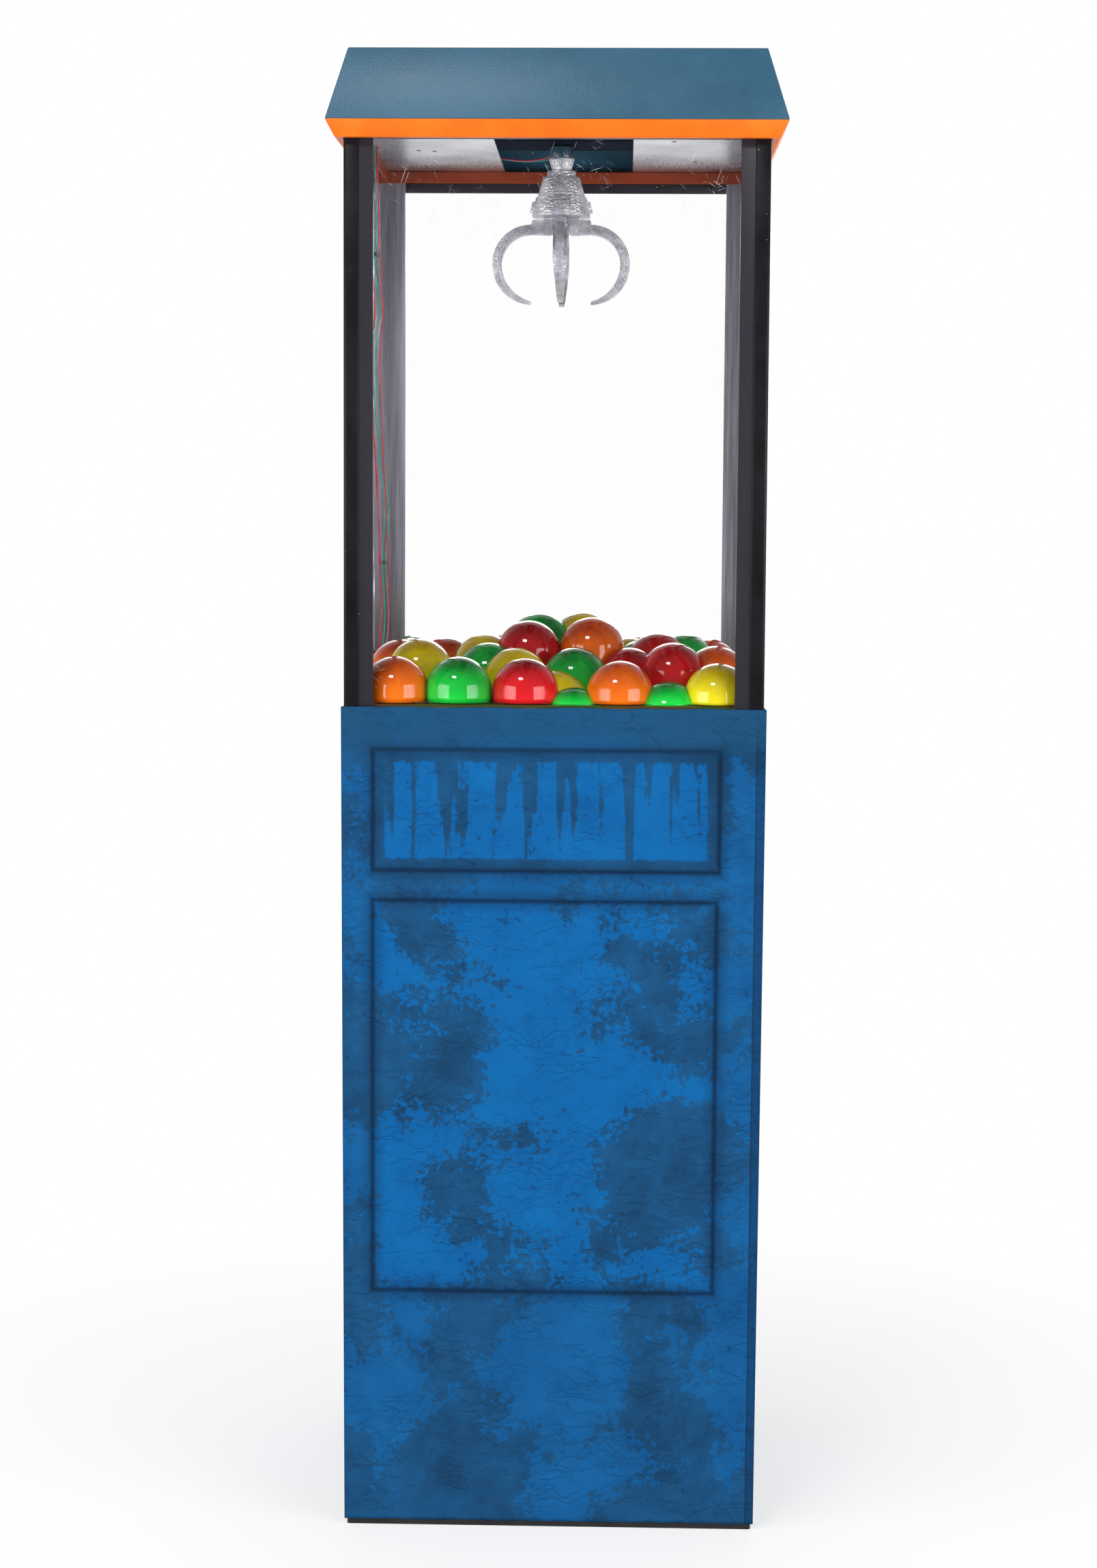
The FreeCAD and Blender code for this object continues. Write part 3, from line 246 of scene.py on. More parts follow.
def make_frame_plastic():
    material, tree, shader, place = start_material("satin_black_extrusion", {"Specular IOR Level": 0.2})
    drift = add_node(tree, CLOUDS, {}, [place, per_size(45), 3, 0.6])
    cells = add_node(tree, CELLS, {}, [place, per_size(9)])
    specks = add_node(tree, RANGE, {}, [cells, 0.03, 0.06, 1, 0])
    areas = add_node(tree, CLOUDS, {}, [place, per_size(60), 2, 0.5])
    dusty = add_node(tree, RANGE, {}, [areas, 0.52, 0.62])
    dust_and_sparkle = add_node(tree, MATH, TIMES, [specks, dusty])
    split = add_node(tree, SPLIT, {}, [place]).outputs
    from_middle = [add_node(tree, MATH, UNSIGNED, [split[axis]]) for axis in ("X", "Y")]
    innermost = add_node(tree, MATH, SMALLER, from_middle)
    inner = add_node(tree, RANGE, {}, [innermost, BAND_EDGE, BAND_EDGE - COLOUR_EDGE])
    patchy = add_node(tree, RANGE, {}, [drift, 0.3, 0.7])
    colour = add_node(tree, BLEND, COLOURS, [patchy, "#101013", "#1A191E"])
    colour = add_node(tree, BLEND, COLOURS, [inner, colour, "#2E2B33"])
    # Painted reflection: the rear posts' inner faces get a streaky lavender grey for the front sheet's
    # scattered light.
    painted_haze_faces = 1.0
    for value, outside, within in (
        (from_middle[0], POST_INSIDE, POST_INSIDE + 0.5 * MM),
        (from_middle[0], REAR_FACE, REAR_FACE - 0.4 * MM),
        (split["Y"], REAR_FACE + 0.6 * MM, REAR_FACE + 0.2 * MM),
        (split["Y"], REAR_POSTS, REAR_POSTS + 1 * MM),
    ):
        limit = add_node(tree, RANGE, {}, [value, outside, within])
        painted_haze_faces = add_node(tree, MATH, TIMES, [painted_haze_faces, limit])
    streaks = add_node(tree, STRETCH, {}, {"Vector": place, "Scale": (1, 1, 0.03)})
    streaky = add_node(tree, CLOUDS, {}, [streaks, per_size(6), 4, 0.6])
    pale = add_node(tree, RANGE, {}, [streaky, 0.35, 0.65])
    painted_haze = add_node(tree, BLEND, COLOURS, [pale, "#76747F", "#A6A4AF"])
    colour = add_node(tree, BLEND, COLOURS, [painted_haze_faces, colour, painted_haze])
    skin = add_node(tree, CLOUDS, {}, [place, per_size(2.5), 2, 0.5])
    fill_sockets(tree, shader, {
        "Base Color": add_node(tree, BLEND, COLOURS, [dust_and_sparkle, colour, "#B9B7BE"]),
        "Roughness": add_node(tree, RANGE, {}, [drift, 0.3, 0.7, 0.3, 0.42]),
        "Normal": add_node(tree, BUMP, {}, {"Height": skin, "Distance": 0.04 * MM}),
    })
    return material


finish["frame"] = make_frame_plastic()
print("made", finish["frame"].name)

# %% [markdown]
# The windows are clear acrylic sheets. Acrylic scratches easily, so many fine white hairlines catch the
# light near the frame, where hands clean the sheet. A hairline is a cloud pattern stretched along one
# direction. The sheet is let through except where it mirrors at a glancing angle and where it is marked:
# both go into the shader's alpha, so light still reaches the inside of the case. Real hairlines are too
# fine to show, so they are drawn coarser.

# %% Window acrylic
HAIRLINES = [(18, 11, 0.20), (-37, 8, 0.18), (71, 13, 0.22), (118, 7, 0.18)]
HANDLED_SIDES = (150 * MM, 190 * MM)
HANDLED_TOP = (1340 * MM, 1400 * MM)


def hairline_pattern(tree, flat):
    """Scratches in a few directions, each with its angle in degrees, length and width in millimetres."""
    scratched = 0.0
    for angle, length, width in HAIRLINES:
        turned = add_node(tree, STRETCH, {"vector_type": "TEXTURE"}, {
            "Vector": flat, "Rotation": (0, 0, math.radians(angle)), "Scale": (length / width, 1, 1),
        })
        hair = add_node(tree, CLOUDS, {}, {
            "Vector": turned, "Scale": per_size(width * 3),
            "Detail": 1, "Roughness": 0.4, "Distortion": 0.15,
        })
        line = add_node(tree, RANGE, {}, [hair, 0.73, 0.79])
        scratched = add_node(tree, MATH, LARGER, [scratched, line])
    return scratched


def make_window_acrylic(name, across):
    """Scratched acrylic; across is the level Object axis that lies in the sheet."""
    material, tree, shader, place = start_material(name, {"Base Color": "#F4F6FA"})
    split = add_node(tree, SPLIT, {}, [place]).outputs
    flat = add_node(tree, "ShaderNodeCombineXYZ", {}, [split[across], split["Z"]])
    areas = add_node(tree, CLOUDS, {}, [flat, per_size(80), 3, 0.6])
    worn = add_node(tree, RANGE, {}, [areas, 0.36, 0.56])
    scratches = add_node(tree, MATH, TIMES, [hairline_pattern(tree, flat), worn])
    cells = add_node(tree, CELLS, {}, [flat, per_size(5)])
    specks = add_node(tree, RANGE, {}, [cells, 0.04, 0.09, 1, 0])
    patches = add_node(tree, CLOUDS, {}, [flat, per_size(45), 4, 0.7])
    dusty = add_node(tree, RANGE, {}, [patches, 0.52, 0.6])
    dust_and_sparkle = add_node(tree, MATH, TIMES, [specks, dusty])
    aside = add_node(tree, MATH, UNSIGNED, [split[across]])
    near_posts = add_node(tree, RANGE, {}, [aside, *HANDLED_SIDES])
    near_top = add_node(tree, RANGE, {}, [split["Z"], *HANDLED_TOP])
    handled = add_node(tree, MATH, LARGER, [near_posts, near_top])
    marks = add_node(tree, MATH, LARGER, [scratches, dust_and_sparkle])
    marks = add_node(tree, MATH, TIMES, [marks, handled])
    white = add_node(tree, MATH, TIMES, [marks, 0.45])
    glancing = add_node(tree, "ShaderNodeLayerWeight", {}, {"Blend": 0.5}).outputs["Facing"]
    steep = add_node(tree, MATH, {"operation": "POWER"}, [glancing, 5])
    mirror = add_node(tree, RANGE, {}, [steep, 0, 0.63, 0.004, 1])
    wave = add_node(tree, CLOUDS, {}, [flat, per_size(60), 1, 0.4])
    fill_sockets(tree, shader, {
        "Alpha": add_node(tree, MATH, LARGER, [mirror, white]),
        "Metallic": add_node(tree, RANGE, {}, [marks, 0.2, 0.5, 1, 0]),
        "Roughness": add_node(tree, RANGE, {}, [marks, 0, 0.5, 0.04, 0.55]),
        "Normal": add_node(tree, BUMP, {}, {"Height": wave, "Distance": 0.5 * MM}),
    })
    return material


finish["front_acrylic"] = make_window_acrylic("scratched_acrylic_front", "X")
finish["side_acrylic"] = make_window_acrylic("scratched_acrylic_side", "Y")
print("made acrylic with", len(HAIRLINES), "directions of hairlines")

# %% [markdown]
# The half balls are thin glossy plastic, painted from behind. The eye gets a deep colour, a paler lower
# part where light comes through the skirt, and sharp softbox reflections with a bright rim. The paler
# lower part is a painted glow: the colour brightens towards the foot. The coat gives the reflections and
# the rim, and the rise attribute tells how high a point lies on its ball.

# %% Ball plastic
# Each row is the deep colour at the crown and the brighter colour of the painted glow at the foot.
BALL_COLOURS = {
    "red": ("#6A0508", "#F01C26"),
    "orange": ("#8A2A08", "#FF7A10"),
    "yellow": ("#8E7400", "#FFF01C"),
    "green": ("#04521C", "#18DC46"),
}


def make_ball_plastic(colour):
    deep, bright = BALL_COLOURS[colour]
    material, tree, shader, place = start_material(f"glossy_{colour}_styrene", {
        "Specular IOR Level": 0.0, "Roughness": 0.5, "Coat Weight": 1.0, "Coat Roughness": 0.02,
        "Subsurface Weight": 0.15, "Subsurface Scale": 6 * MM,
    })
    rise = add_node(tree, "ShaderNodeAttribute", {"attribute_name": "rise"}).outputs["Fac"]
    drift = add_node(tree, CLOUDS, {}, [place, per_size(35), 3, 0.6])
    # Painted glow: the colour turns brighter towards the foot of each ball.
    painted_glow = add_node(tree, RANGE, {}, [rise, 0.1, 0.9, 0.95, 0.05])
    uneven = add_node(tree, RANGE, {}, [drift, 0.3, 0.7, -0.15, 0.15])
    lit = add_node(tree, MATH, PLUS, [painted_glow, uneven])
    ripple = add_node(tree, CLOUDS, {}, [place, per_size(14), 2, 0.4])
    fill_sockets(tree, shader, {
        "Base Color": add_node(tree, BLEND, COLOURS, [lit, deep, bright]),
        "Normal": add_node(tree, BUMP, {}, {"Height": ripple, "Distance": 0.12 * MM}),
    })
    return material


for colour in BALL_COLOURS:
    finish[colour] = make_ball_plastic(colour)
print("made ball plastic in", list(BALL_COLOURS))

# %% [markdown]
# The claw is cast and silver-painted. The bell's skin is hammered into small dents, the fingers keep the
# grain of the mould, and the paint has a metallic sparkle, so it is partly a rough metal with a fine bump.

# %% Claw castings


def make_casting(name, dent, depth, metal, dark, light):
    """Silver-painted casting with dents of this size and depth, in millimetres."""
    material, tree, shader, place = start_material(name, {"Metallic": metal, "Specular IOR Level": 0.5})
    wrinkled = add_node(tree, STRETCH, {}, {"Vector": place, "Scale": (1, 1, 1.6)})
    dents = add_node(tree, CELLS, {"feature": "SMOOTH_F1"}, {
        "Vector": wrinkled, "Scale": per_size(dent), "Smoothness": 0.6,
    })
    grain = add_node(tree, CLOUDS, {}, [place, per_size(0.9), 3, 0.7])
    areas = add_node(tree, CLOUDS, {}, [place, per_size(14), 3, 0.6])
    patchy = add_node(tree, RANGE, {}, [areas, 0.35, 0.7])
    shade = add_node(tree, BLEND, COLOURS, [patchy, dark, light])
    flakes = add_node(tree, RANGE, {}, [grain, 0.6, 0.75, 0, 0.6])
    fine = add_node(tree, MATH, TIMES, [grain, 0.25])
    height = add_node(tree, MATH, PLUS, [dents, fine])
    fill_sockets(tree, shader, {
        "Base Color": add_node(tree, BLEND, COLOURS, [flakes, shade, "#F2F1F6"]),
        "Roughness": add_node(tree, RANGE, {}, [grain, 0.3, 0.7, 0.28, 0.46]),
        "Normal": add_node(tree, BUMP, {}, {"Height": height, "Distance": depth * MM}),
    })
    return material


finish["bell"] = make_casting("hammered_silver_casting", 3.4, 0.9, 0.55, "#C9C7D3", "#FFFFFF")
finish["finger"] = make_casting("silver_casting", 2.2, 0.45, 0.4, "#B6B4C0", "#F6F5FA")
print("made", finish["bell"].name, "and", finish["finger"].name)

# %% [markdown]
# Under the roof the ceiling boards are satin silver sheet, brushed along the depth of the case, which
# spreads their highlights sideways. The deck is birch plywood, whose grain gives long pale streaks.

# %% Sheet and plywood


def make_silver_sheet():
    material, tree, shader, place = start_material("satin_aluminium_sheet", {"Metallic": 0.9})
    drift = add_node(tree, CLOUDS, {}, [place, per_size(70), 2, 0.5])
    along = add_node(tree, STRETCH, {}, {"Vector": place, "Scale": (1, 0.02, 1)})
    brushed = add_node(tree, CLOUDS, {}, [along, per_size(0.7), 2, 0.6])
    patchy = add_node(tree, RANGE, {}, [drift, 0.3, 0.7])
    fill_sockets(tree, shader, {
        "Base Color": add_node(tree, BLEND, COLOURS, [patchy, "#B9BCC4", "#E3E4E8"]),
        "Roughness": add_node(tree, RANGE, {}, [brushed, 0.3, 0.7, 0.24, 0.36]),
        "Normal": add_node(tree, BUMP, {}, {"Height": brushed, "Distance": 0.02 * MM}),
    })
    return material


def make_plywood():
    material, tree, shader, place = start_material("birch_plywood", {"Roughness": 0.6})
    along = add_node(tree, STRETCH, {}, {"Vector": place, "Scale": (0.08, 1, 1)})
    grain = add_node(tree, CLOUDS, {}, {
        "Vector": along, "Scale": per_size(6), "Detail": 5, "Roughness": 0.6, "Distortion": 0.4,
    })
    streaky = add_node(tree, RANGE, {}, [grain, 0.35, 0.65])
    fill_sockets(tree, shader, {
        "Base Color": add_node(tree, BLEND, COLOURS, [streaky, "#8A6A45", "#C9A877"]),
        "Normal": add_node(tree, BUMP, {}, {"Height": grain, "Distance": 0.15 * MM}),
    })
    return material


finish["silver"] = make_silver_sheet()
finish["plywood"] = make_plywood()
print("made", finish["silver"].name, "and", finish["plywood"].name)

# %% [markdown]
# The small hardware is plain: painted or bright steel, brass, moulded black plastic, insulation, tape and
# thread. Nothing real has one even tone, so each still drifts between two tones over a real size. A row
# holds the name, the two tones, the size of a blotch in millimetres, the shader's values and, where the
# surface is rougher than usual, its height in millimetres.

# %% Plain finishes
PLAIN = {
    # The motor plate's very dark navy is partly painted shade, standing for the dark gap under the roof.
    "navy": (
        "navy_steel_painted_shade", "#0E1626", "#18253A", 12, {"Roughness": 0.9, "Specular IOR Level": 0.03},
    ),
    "brass": ("brass", "#8C6A2C", "#C9A255", 4, {"Metallic": 1.0, "Roughness": 0.3}),
    "steel": ("bright_steel", "#83858A", "#B9BBC0", 9, {"Metallic": 1.0, "Roughness": 0.32}),
    "black": ("moulded_black_abs", "#121215", "#242428", 18, {"Roughness": 0.45}),
    "leg": ("black_painted_tube", "#0E0E10", "#1E1E22", 24, {"Roughness": 0.4}),
    "stem": ("slate_teal_styrene", "#243F4E", "#35586A", 10, {"Roughness": 0.35, "Coat Weight": 0.3}),
    "tray": ("tinted_styrene_sheet", "#6E3210", "#2A5A1E", 60, {"Roughness": 0.2, "Coat Weight": 0.5}),
    "tape": ("hook_tape", "#0B1A33", "#1A3054", 1.2, {"Roughness": 0.9}, 0.4),
    "thread": ("blue_sewing_thread", "#0E2C50", "#1A4474", 0.8, {"Roughness": 0.75}, 0.2),
    "red_wire": ("red_pvc_insulation", "#9E1A2A", "#CF2B3E", 12, {"Roughness": 0.3}),
    "teal_wire": ("teal_pvc_insulation", "#0C7C74", "#14A597", 12, {"Roughness": 0.3}),
}


def make_plain(name, first, second, size, values, bump=0.05):
    material, tree, shader, place = start_material(name, values)
    drift = add_node(tree, CLOUDS, {}, [place, per_size(size), 4, 0.6])
    patchy = add_node(tree, RANGE, {}, [drift, 0.3, 0.7])
    skin = add_node(tree, CLOUDS, {}, [place, per_size(size / 8), 3, 0.6])
    fill_sockets(tree, shader, {
        "Base Color": add_node(tree, BLEND, COLOURS, [patchy, first, second]),
        "Normal": add_node(tree, BUMP, {}, {"Height": skin, "Distance": bump * MM}),
    })
    return material


for key, row in PLAIN.items():
    finish[key] = make_plain(*row)
print("finishes", len(finish))

# %% [markdown]
# CAD nodes that look right keep their meshes and only change their finish. A casting or a board has
# slightly broken edges on the real object, so such a piece is a copy of its node: its loose triangles
# are merged, its flat faces joined, and a Bevel modifier rounds the edges by a real radius.

# %% Pieces from nodes
WELD_GAP = 0.005 * MM
FLAT_ANGLE = math.radians(1)


def paint_node(name, material):
    node = frame["nodes"][name]
    node.data.materials.clear()
    node.data.materials.append(material)


def settle(piece, body, slot, *nodes):
    """Let a piece ride on a body and hide the nodes that it stands for; the slot is not used."""
    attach(piece, body)
    if nodes:
        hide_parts(*nodes)
    return piece


def new_piece(name, data, material):
    piece = bpy.data.objects.new(name, data)
    scene.collection.objects.link(piece)
    data.materials.clear()
    data.materials.append(material)
    return piece


def mesh_from(shape, name):
    """A smooth mesh from a finished bmesh."""
    mesh = bpy.data.meshes.new(name)
    shape.to_mesh(mesh)
    shape.free()
    mesh.shade_smooth()
    return mesh


def evaluated_mesh(piece):
    """A plain mesh of what an object's modifiers make."""
    bpy.context.view_layer.update()
    return bpy.data.meshes.new_from_object(piece.evaluated_get(bpy.context.evaluated_depsgraph_get()))


def rounded_copy(name, node, material, body, slot, radius, smooth_angle=35):
    """A copy of a node with its sharp edges rounded by a radius in millimetres."""
    shape = bmesh.new()
    shape.from_mesh(frame["nodes"][node].data)
    bmesh.ops.remove_doubles(shape, verts=shape.verts, dist=WELD_GAP)
    bmesh.ops.dissolve_limit(shape, angle_limit=FLAT_ANGLE, verts=shape.verts, edges=shape.edges)
    piece = new_piece(name, mesh_from(shape, name), material)
    bevel = piece.modifiers.new("rounded_edges", "BEVEL")
    bevel.width = radius * MM
    bevel.segments = 2
    bevel.limit_method = "ANGLE"
    bevel.angle_limit = math.radians(smooth_angle)
    bevel.use_clamp_overlap = True
    mesh = evaluated_mesh(piece)
    piece.modifiers.clear()
    piece.data = mesh
    mesh.shade_smooth()
    mesh.set_sharp_from_angle(angle=math.radians(smooth_angle))
    return settle(piece, body, slot, node)


print("nodes to dress", len(frame["nodes"]))

# %% Frame, roof and boards
CORNERS = [f"{row}_{side}" for row in ("front", "rear") for side in ("left", "right")]
SIDES = ["front", "right", "rear", "left"]
PAINTED_NODES = {
    "silver": ["left_ceiling_board", "right_ceiling_board"],
    "leg": ["base_board"],
    "plywood": ["deck_board"],
    "navy": ["motor_plate"],
    "steel": ["motor_can", "motor_shaft"],
    "black": ["gearbox", "battery_box", "battery_lid", "power_switch"],
    "finger": ["pivot_pins"],
    "tray": ["ball_tray"],
    "tape": ["hook_strips"],
}

for corner in CORNERS:
    rounded_copy(f"{corner}_corner_post", f"{corner}_post", finish["frame"], "case", "black_frame", 0.6)
    paint_node(f"{corner}_leg", finish["leg"])
for side in SIDES:
    rounded_copy(f"{side}_top_rail", f"{side}_rail", finish["frame"], "case", "black_frame", 0.5)
    sheet = "front_acrylic" if side in ("front", "rear") else "side_acrylic"
    paint_node(f"{side}_window", finish[sheet])
rounded_copy("roof_shell", "roof_cap", finish["roof"], "case", "blue_paint", 1.2)
rounded_copy("trim_board", "eave_trim", finish["trim"], "case", "orange_paint", 1.0)
for key, names in PAINTED_NODES.items():
    for name in names:
        paint_node(name, finish[key])
print("painted and rounded the boards and the frame")

# %% [markdown]
# The claw's bell, hub and fingers are copies of their nodes with rounded mould edges. Each knuckle gets
# the raised round seat that holds its screw head. A seat is a short profile turned round the pivot, ring
# by ring, because it is small trim on the casting.

# %% Claw
BOSS_RADIUS = 5.6 * MM
BOSS_HEIGHT = 1.2 * MM
BOSS_ROUND = 0.5 * MM
BOSS_PROFILE = [
    (BOSS_RADIUS, 0),
    (BOSS_RADIUS, BOSS_HEIGHT - BOSS_ROUND),
    (BOSS_RADIUS - BOSS_ROUND * 0.3, BOSS_HEIGHT - BOSS_ROUND * 0.3),
    (BOSS_RADIUS - BOSS_ROUND, BOSS_HEIGHT),
]
BOSS_SEGMENTS = 24
BOSS_CREASE = math.radians(35)
FINGER_HALF = 4.5 * MM
UPWARD = Vector((0, 0, 1))

rounded_copy("cast_bell", "claw_bell", finish["bell"], "claw", "silver_casting", 0.9, 28)
rounded_copy("cast_hub", "claw_hub", finish["finger"], "claw", "silver_casting", 0.5)
rounded_copy("turning_stem", "claw_stem", finish["stem"], "claw", "teal_plastic", 0.6)


def turned_rings(shape, center, axis, aside, profile, segments):
    """Rings of points, one for each radius and height of a profile, joined by a wall of faces."""
    across = axis.cross(aside)
    rings = []
    for radius, height in profile:
        ring = []
        for step in range(segments):
            angle = 2 * math.pi * step / segments
            spoke = aside * math.cos(angle) + across * math.sin(angle)
            ring.append(shape.verts.new(center + spoke * radius + axis * height))
        rings.append(ring)
    for low, high in zip(rings, rings[1:]):
        for step in range(segments):
            after = (step + 1) % segments
            shape.faces.new((low[step], low[after], high[after], high[step]))
    shape.faces.new(list(reversed(rings[0])))
    return rings


for joint in frame["joints"]:
    if not joint["name"].endswith("finger_pivot"):
        continue
    finger = joint["child"]
    rounded_copy(f"cast_{finger}", finger, finish["finger"], finger, "silver_casting", 1.4, 30)
    outward = -Vector(joint["axis"])
    seat = Vector(joint["pos_m"]) + outward * FINGER_HALF
    boss = bmesh.new()
    aside = outward.cross(UPWARD).normalized()
    rings = turned_rings(boss, seat, outward, aside, BOSS_PROFILE, BOSS_SEGMENTS)
    boss.faces.new(rings[-1])
    bmesh.ops.recalc_face_normals(boss, faces=boss.faces)
    mesh = mesh_from(boss, f"{finger}_boss")
    mesh.set_sharp_from_angle(angle=BOSS_CREASE)
    settle(new_piece(f"{finger}_boss", mesh, finish["finger"]), finger, "silver_casting")
print("claw pieces made")

# %% [markdown]
# The bed of half balls is probably one formed sheet, on which a raised half ball stands on a straight
# skirt. One profile is turned round an upright axis for each ball. Where two balls run into each other
# the higher one hides the lower, as on the real sheet, so each is made whole. A row holds a ball's
# colour, its place across and along the tray, from -1 to 1, and its lift in millimetres.

# %% Half balls
BALL_RADIUS = 34.5 * MM
BALL_SEGMENTS = 56
DOME_STEPS = 18
SKIRT_LEAST = 2.5 * MM
SKIRT_FOOT = 1 * MM
SKIRT_DRAFT = 0.1 * MM
BALLS = [
    ("orange", -0.98, -0.99, 13), ("green", -0.59, -0.99, 13), ("red", -0.18, -0.99, 12),
    ("green", 0.12, -0.99, -18), ("orange", 0.40, -0.99, 10), ("green", 0.70, -0.99, -11),
    ("yellow", 1.00, -0.99, 8), ("orange", -0.98, -0.50, 27), ("yellow", -0.85, -0.68, 29),
    ("yellow", -0.25, -0.65, 20), ("green", 0.12, -0.68, 21), ("yellow", 0.01, -0.83, -2),
    ("red", 0.46, -0.53, 20), ("red", 0.73, -0.71, 27), ("orange", 1.00, -0.59, 23),
    ("green", -0.43, -0.47, 24), ("yellow", -0.46, -0.30, 32), ("red", -0.18, -0.36, 47),
    ("orange", 0.22, -0.36, 51), ("green", -0.12, 0.00, 53), ("yellow", 0.16, 0.12, 54),
    ("red", 0.64, -0.24, 34), ("green", 0.81, -0.12, 32), ("green", 0.54, -0.12, 25),
    ("yellow", 0.46, 0.00, 27), ("red", -0.98, -0.25, 25), ("orange", -0.72, -0.05, 26),
    ("yellow", -0.98, 0.10, 24), ("green", -0.98, 0.47, 24), ("red", -0.66, 0.36, 16),
    ("yellow", -0.30, 0.40, 30), ("red", 0.52, 0.40, 26), ("orange", 0.98, 0.28, 24),
    ("orange", -0.70, 0.76, 18), ("green", -0.36, 0.74, 18), ("orange", 0.02, 0.62, 22),
    ("green", 0.36, 0.72, 18), ("yellow", 0.76, 0.66, 20), ("red", -0.98, 0.99, 13),
    ("yellow", -0.50, 0.99, 12), ("red", -0.14, 0.99, 13), ("yellow", 0.22, 0.99, 12),
    ("red", 0.60, 0.99, 13), ("green", 1.00, 0.99, 12),
]
tray_low, tray_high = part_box("ball_tray")


def ball_profile(lift):
    """Radius and height above the tray, from the foot to just below the crown."""
    start = math.asin(min(max(-lift / BALL_RADIUS, 0), 1))
    points = []
    if lift > SKIRT_LEAST:
        points.append((BALL_RADIUS - SKIRT_DRAFT, SKIRT_FOOT))
        points.append((BALL_RADIUS, lift / 2))
    for step in range(DOME_STEPS):
        climb = start + (math.pi / 2 - start) * step / DOME_STEPS
        points.append((BALL_RADIUS * math.cos(climb), lift + BALL_RADIUS * math.sin(climb)))
    return points


def add_ball(shape, rise, center, lift):
    """One half ball; rise keeps each point's share of the ball's height."""
    top = lift + BALL_RADIUS
    profile = ball_profile(lift)
    rings = turned_rings(shape, center, UPWARD, Vector((1, 0, 0)), profile, BALL_SEGMENTS)
    for ring, (_, height) in zip(rings, profile):
        for point in ring:
            point[rise] = height / top
    crown = shape.verts.new(center + UPWARD * top)
    crown[rise] = 1.0
    for step in range(BALL_SEGMENTS):
        shape.faces.new((rings[-1][step], rings[-1][(step + 1) % BALL_SEGMENTS], crown))


def make_balls(colour):
    shape = bmesh.new()
    rise = shape.verts.layers.float.new("rise")
    room = (tray_high - tray_low) / 2 - Vector((BALL_RADIUS, BALL_RADIUS, 0))
    for name, across, along, lift in BALLS:
        if name == colour:
            add_ball(shape, rise, Vector((across * room.x, along * room.y, tray_high.z)), lift * MM)
    name = f"{colour}_half_balls"
    piece = new_piece(name, mesh_from(shape, name), finish[colour])
    return settle(piece, "case", f"{colour}_shell", f"{colour}_balls")


for colour in BALL_COLOURS:
    print(colour, "half balls", len(make_balls(colour).data.polygons), "faces")

# %% [markdown]
# The lower cabinet wears a sleeve of blue felt-like cloth with a worn, blotchy paint effect. A cloud
# pattern gives the blotches, and finer ones make their edges ragged and spattered. A bias says where the
# brighter paint is thick: down the middle and the right margin, and thin towards the hem.

# %% Cloth paint
BRIGHT_MIDDLE = (35 * MM, 95 * MM)
RIGHT_MARGIN = (165 * MM, 190 * MM)
DARK_HEM = (20 * MM, 130 * MM)


def paint_film(tree, place, across, up):
    """Ragged mask of the brighter paint, 1 where it lies."""
    aside = add_node(tree, MATH, UNSIGNED, [across])
    total = add_node(tree, RANGE, {}, [aside, *BRIGHT_MIDDLE, 0.11, -0.045])
    blotches = add_node(tree, CLOUDS, {}, {
        "Vector": place, "Scale": per_size(110), "Detail": 3, "Roughness": 0.55, "Distortion": 0.3,
    })
    ragged = add_node(tree, CLOUDS, {}, [place, per_size(14), 8, 0.85])
    spatter = add_node(tree, CLOUDS, {}, [place, per_size(6), 2, 0.5])
    for part in (
        add_node(tree, RANGE, {}, [across, *RIGHT_MARGIN, 0, 0.12]),
        add_node(tree, RANGE, {}, [up, *DARK_HEM, -0.1, 0]),
        blotches,
        add_node(tree, MATH, TIMES, [ragged, 0.6]),
        add_node(tree, MATH, TIMES, [spatter, 0.3]),
    ):
        total = add_node(tree, MATH, PLUS, [total, part])
    return add_node(tree, RANGE, {}, [total, 0.935, 0.955])


print("bright paint fades between", BRIGHT_MIDDLE, "m from the middle")

# %% [markdown]
# The cloth is thin and creased all over like soft leather. The edges between the cells of a Voronoi
# pattern make a net of lines; a cloud pattern shifts the net so that no line is straight, and another one
# breaks it up. Two nets of different size lie over each other.

# %% Cloth creases
CREASE_NETS = [(26, 0.22, 90), (12, 0.35, 45)]
CREASE_SHIFT = 40 * MM


def crease_pattern(tree, place):
    """Thin broken creases, longer across than up: 1 between them, 0 in them."""
    wander = add_node(tree, CLOUDS, {}, {"Vector": place, "Scale": per_size(30), "Detail": 5})
    shifted = add_node(tree, "ShaderNodeVectorMath", {"operation": "MULTIPLY_ADD"}, [
        wander.outputs["Color"], (CREASE_SHIFT, CREASE_SHIFT, CREASE_SHIFT), place,
    ])
    creases = 1.0
    for size, flatten, broken in CREASE_NETS:
        laid = add_node(tree, STRETCH, {}, {"Vector": shifted, "Scale": (flatten, flatten, 1)})
        cells = add_node(tree, CELLS, {"feature": "DISTANCE_TO_EDGE"}, [laid, per_size(size)])
        line = add_node(tree, RANGE, {}, [cells, 0, 0.08])
        areas = add_node(tree, CLOUDS, {}, [place, per_size(broken), 3, 0.6])
        gaps = add_node(tree, RANGE, {}, [areas, 0.44, 0.56, 1, 0])
        line = add_node(tree, MATH, LARGER, [line, gaps])
        creases = add_node(tree, MATH, SMALLER, [creases, line])
    return creases


print("crease nets", len(CREASE_NETS))

# %% [markdown]
# The front carries two printed panels with soft dark frames. The distance to a rectangle's edge draws
# them: close to zero it is the frame, below zero the inside. In the upper panel the paint has run down in
# drips, which are clouds stretched upright. A side fold at the right has a thin dark line, and the strip
# beyond it, where the cloth turns away from the light, is darker as painted shade.

